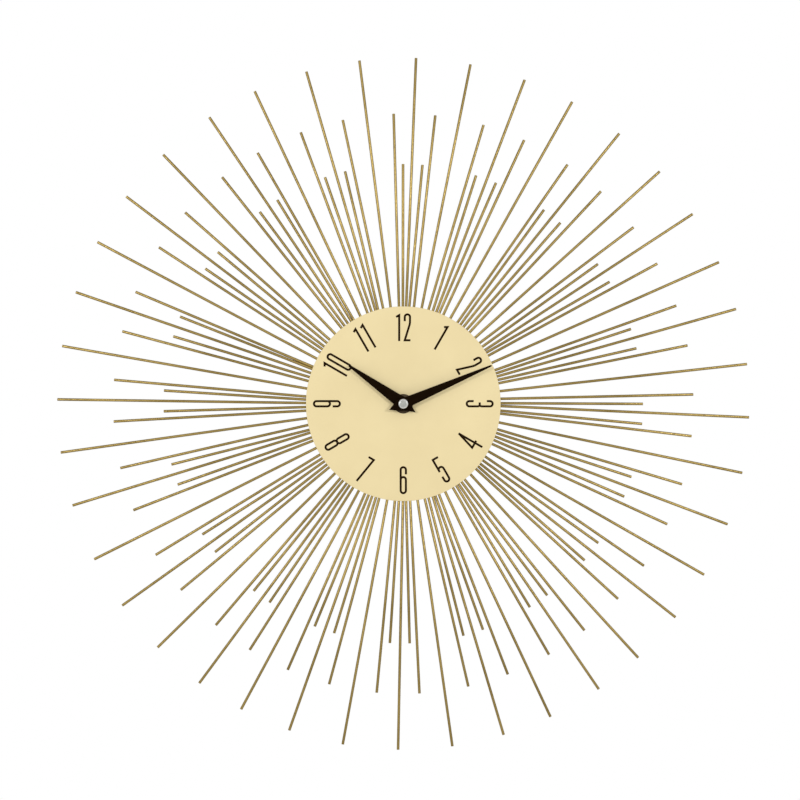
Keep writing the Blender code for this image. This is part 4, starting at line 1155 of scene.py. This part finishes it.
def battery_sign():
    """Cutters for the sunk outline of a cell, with its plus and minus, above the bay."""
    low, high = SIGN_CELL
    middle = (low[1] + high[1]) / 2
    line = SIGN_LINE
    inside = rectangle((low[0] + line, low[1] + line), (high[0] - line, high[1] - line))
    cell_outlines = [
        softened(rectangle(low, high), SIGN_CORNER_RADIUS),
        softened(inside, SIGN_CORNER_RADIUS - line / 2),
    ]
    half_nub = SIGN_NUB_LONG / 2
    nub = bar((high[0] + line + half_nub, middle), half_nub, SIGN_NUB_HALF)
    minus = bar((low[0] + SIGN_MARK_INSET, middle), SIGN_MARK_HALF, line / 2)
    plus_at = (high[0] - SIGN_MARK_INSET, middle)
    arms = (bar(plus_at, SIGN_MARK_HALF, line / 2), bar(plus_at, line / 2, SIGN_MARK_HALF))
    return [prism(cell_outlines, -OVERCUT, SIGN_SUNK), joined(*sunk(arms)), *sunk([nub, minus])]


def add_case(axes, finishes):
    black = finishes["case"]
    add_piece("case_shell", case_mesh(axes), black, "movement", "case", "movement_case")
    add_piece("case_back", back_mesh(axes), black, "movement", "case", "movement_back")


def cell_profile():
    """Half the outline of an AA cell, from its flat end to its terminal."""
    left, right = CELL_ENDS
    bottom_at = (CELL_RADIUS - CELL_BOTTOM_ROUND, left + CELL_BOTTOM_RISE)
    shoulder_at = (CELL_RADIUS - CELL_SHOULDER_ROUND, right - CELL_SHOULDER_DROP)
    profile = [(radius, left + past) for radius, past in CELL_BOTTOM]
    profile += arc(bottom_at, CELL_BOTTOM_ROUND, -90.0, 0.0, CELL_ROUND_STEPS)
    profile += arc(shoulder_at, CELL_SHOULDER_ROUND, 0.0, 90.0, CELL_ROUND_STEPS)
    profile += [(radius, right + past) for radius, past in CELL_TOP]
    return profile + [(radius, CELL_TERMINAL_END + past) for radius, past in CELL_TERMINAL_TIP]


def add_cell(finishes):
    mesh = along_x(turned(cell_profile(), TURNED_SIDES))
    mesh = shifted(mesh, depth=CELL_DEPTH, z=CELL_HEIGHT)
    piece = add_piece("cell", mesh, finishes["cell"], "movement", "cell", "battery")
    piece.data.materials.append(finishes["cell_ends"])
    for polygon in piece.data.polygons:
        point = polygon.center / MM
        if math.hypot(point.y + CELL_DEPTH, point.z - CELL_HEIGHT) < CELL_BARE_RADIUS:
            polygon.material_index = 1


def hanger_mesh():
    """A bent strap: clamped on the bush, over the case's top, with a loop at the wall."""
    back, front = HANGER_LOOP_DEPTH, HANGER_FRONT_DEPTH
    inside = HANGER_BEND_RADIUS
    outside = inside + HANGER_THICKNESS
    upper_bend = (back + inside, HANGER_BEND_HEIGHT + inside)
    lower_bend = (front - outside, HANGER_BEND_HEIGHT - outside)
    steps = HANGER_BEND_STEPS
    side = [(front - HANGER_THICKNESS, HANGER_FOOT), (front, HANGER_FOOT)]
    side += arc(lower_bend, outside, 0.0, 90.0, steps)
    side += arc(upper_bend, inside, 270.0, 180.0, steps)
    side += [(back, HANGER_LOOP_TOP), (back - HANGER_THICKNESS, HANGER_LOOP_TOP)]
    side += arc(upper_bend, outside, 180.0, 270.0, steps)
    side += arc(lower_bend, inside, 90.0, 0.0, steps)
    half = HANGER_HALF_WIDTH
    strap = along_x(prism([[(-depth, z) for depth, z in side]], -half, half))
    hole_depths = (front - HANGER_THICKNESS - OVERCUT, front + OVERCUT)
    loop_depths = (-OVERCUT, back + OVERCUT)
    tools = [disc((0.0, 0.0), SHAFT_HOLE_RADIUS, hole_depths)]
    for outline in (hang_loop_outline(), *top_corners()):
        tools.append(prism([outline], *loop_depths))
    return cut(strap, *tools)


def hang_loop_outline():
    """The opening that goes over a nail, narrowed at the top, where the clock hangs."""
    wide, narrow = LOOP_HALF_WIDTH, LOOP_NOTCH_HALF_WIDTH
    foot, shoulder, top = LOOP_HEIGHTS
    corners = [(-wide, foot), (wide, foot), (wide, shoulder)]
    corners += [(narrow, top), (-narrow, top), (-wide, shoulder)]
    return softened(corners, LOOP_ROUND, steps=5)


def top_corners():
    """The triangles that are cut off the strap's top."""
    outer, inner = HANGER_HALF_WIDTH + OVERCUT, HANGER_HALF_WIDTH - HANGER_CORNER_CUT
    low, top = HANGER_LOOP_TOP - HANGER_CORNER_CUT, HANGER_LOOP_TOP + OVERCUT
    return [[(s * outer, low), (s * outer, top), (s * inner, top)] for s in (1, -1)]


def add_hanger(finishes):
    steel = finishes["spring_steel"]
    add_piece("hanger_strap", hanger_mesh(), steel, "movement", "spring_steel", "hanger")


def dress_frame_nodes(frame, finishes):
    """Gives the frame's own pieces that stay in view, or inside the case, their finishes."""
    slots = {
        "wheel": "intermediate_wheel fourth_wheel third_wheel centre_wheel motion_wheel hour_wheel"
                 " coil_bobbin",
        "knob": "setting_knob",
        "case": "train_plate",
        "spring_steel": "minute_arbor contact_negative contact_positive quartz_crystal",
        "magnet_steel": "rotor stator coil_core",
        "copper": "coil_winding",
        "board": "circuit_board",
        "chip": "driver_chip",
    }
    for slot, names in slots.items():
        for name in names.split():
            node = frame["nodes"][name]
            node.data.materials.clear()
            node.data.materials.append(finishes[slot])


# The studio


def add_floor():
    bm = bmesh.new()
    radius = FLOOR_RADIUS * MM
    bmesh.ops.create_circle(bm, cap_ends=True, segments=FLOOR_SIDES, radius=radius)
    floor = bpy.data.objects.new("floor", finish_mesh(bm, "floor"))
    floor.location.z = FLOOR_HEIGHT * MM
    finish = Finish("floor_paint", specular=0.3)
    cloud = finish.noise(300.0, 3.0)
    finish.colour((0.86, 0.855, 0.85), (0.89, 0.885, 0.88), finish.spread(cloud, 0.0, 1.0))
    floor.data.materials.append(finish.roughness(0.6, 0.75, cloud).material)
    bpy.context.scene.collection.objects.link(floor)


def add_light(name, side):
    data = bpy.data.lights.new(name, "AREA")
    data.shape = "DISK"
    data.size = LIGHT_SIZE * MM
    data.energy = LIGHT_POWER
    light = bpy.data.objects.new(name, data)
    across, forward, up = LIGHT_AT
    light.location = Vector((side * across, forward, up)) * MM
    light.rotation_euler = (-light.location).to_track_quat("-Z", "Y").to_euler()
    bpy.context.scene.collection.objects.link(light)


def add_world():
    """White where the camera looks past the clock, and a softer white light from all round."""
    world = bpy.data.worlds.new("studio")
    world.use_nodes = True
    nodes, links = world.node_tree.nodes, world.node_tree.links
    background = nodes["Background"]
    background.inputs["Color"].default_value = (1.0, 1.0, 1.0, 1.0)
    seen = nodes.new("ShaderNodeLightPath").outputs["Is Camera Ray"]
    strength = nodes.new("ShaderNodeMapRange")
    strength.inputs["To Min"].default_value = AROUND_LIGHT
    strength.inputs["To Max"].default_value = 1.0
    links.new(seen, strength.inputs["Value"])
    links.new(strength.outputs["Result"], background.inputs["Strength"])
    bpy.context.scene.world = world


def add_camera():
    data = bpy.data.cameras.new("camera")
    data.sensor_width = SENSOR_WIDTH
    distance = -CAMERA_AT[1] - ROD_AXIS_DEPTH
    data.lens = SENSOR_WIDTH * distance / PICTURE_WIDTH
    data.clip_end = CAMERA_FAR * MM
    camera = bpy.data.objects.new("camera", data)
    camera.location = Vector(CAMERA_AT) * MM
    camera.rotation_euler = (math.radians(90.0), 0.0, 0.0)
    bpy.context.scene.collection.objects.link(camera)
    bpy.context.scene.camera = camera


def add_studio():
    add_floor()
    add_world()
    add_light("softbox_right", 1)
    add_light("softbox_left", -1)
    add_camera()
    bpy.context.scene.view_settings.view_transform = "Standard"


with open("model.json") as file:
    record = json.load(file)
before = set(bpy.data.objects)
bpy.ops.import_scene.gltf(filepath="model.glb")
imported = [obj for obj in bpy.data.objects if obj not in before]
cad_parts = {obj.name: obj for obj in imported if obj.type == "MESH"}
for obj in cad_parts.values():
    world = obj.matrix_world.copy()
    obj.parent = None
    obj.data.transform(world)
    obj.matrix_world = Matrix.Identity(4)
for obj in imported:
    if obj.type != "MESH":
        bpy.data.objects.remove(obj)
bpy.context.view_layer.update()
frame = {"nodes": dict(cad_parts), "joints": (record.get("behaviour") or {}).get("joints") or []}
finishes = make_finishes()
add_studio()
add_burst(finishes)
add_dial(finishes)
add_numerals(finishes)
add_hub(finishes)
add_clamp(finishes)
add_hands(finishes)
add_case(axis_points(frame), finishes)
add_cell(finishes)
add_hanger(finishes)
dress_frame_nodes(frame, finishes)
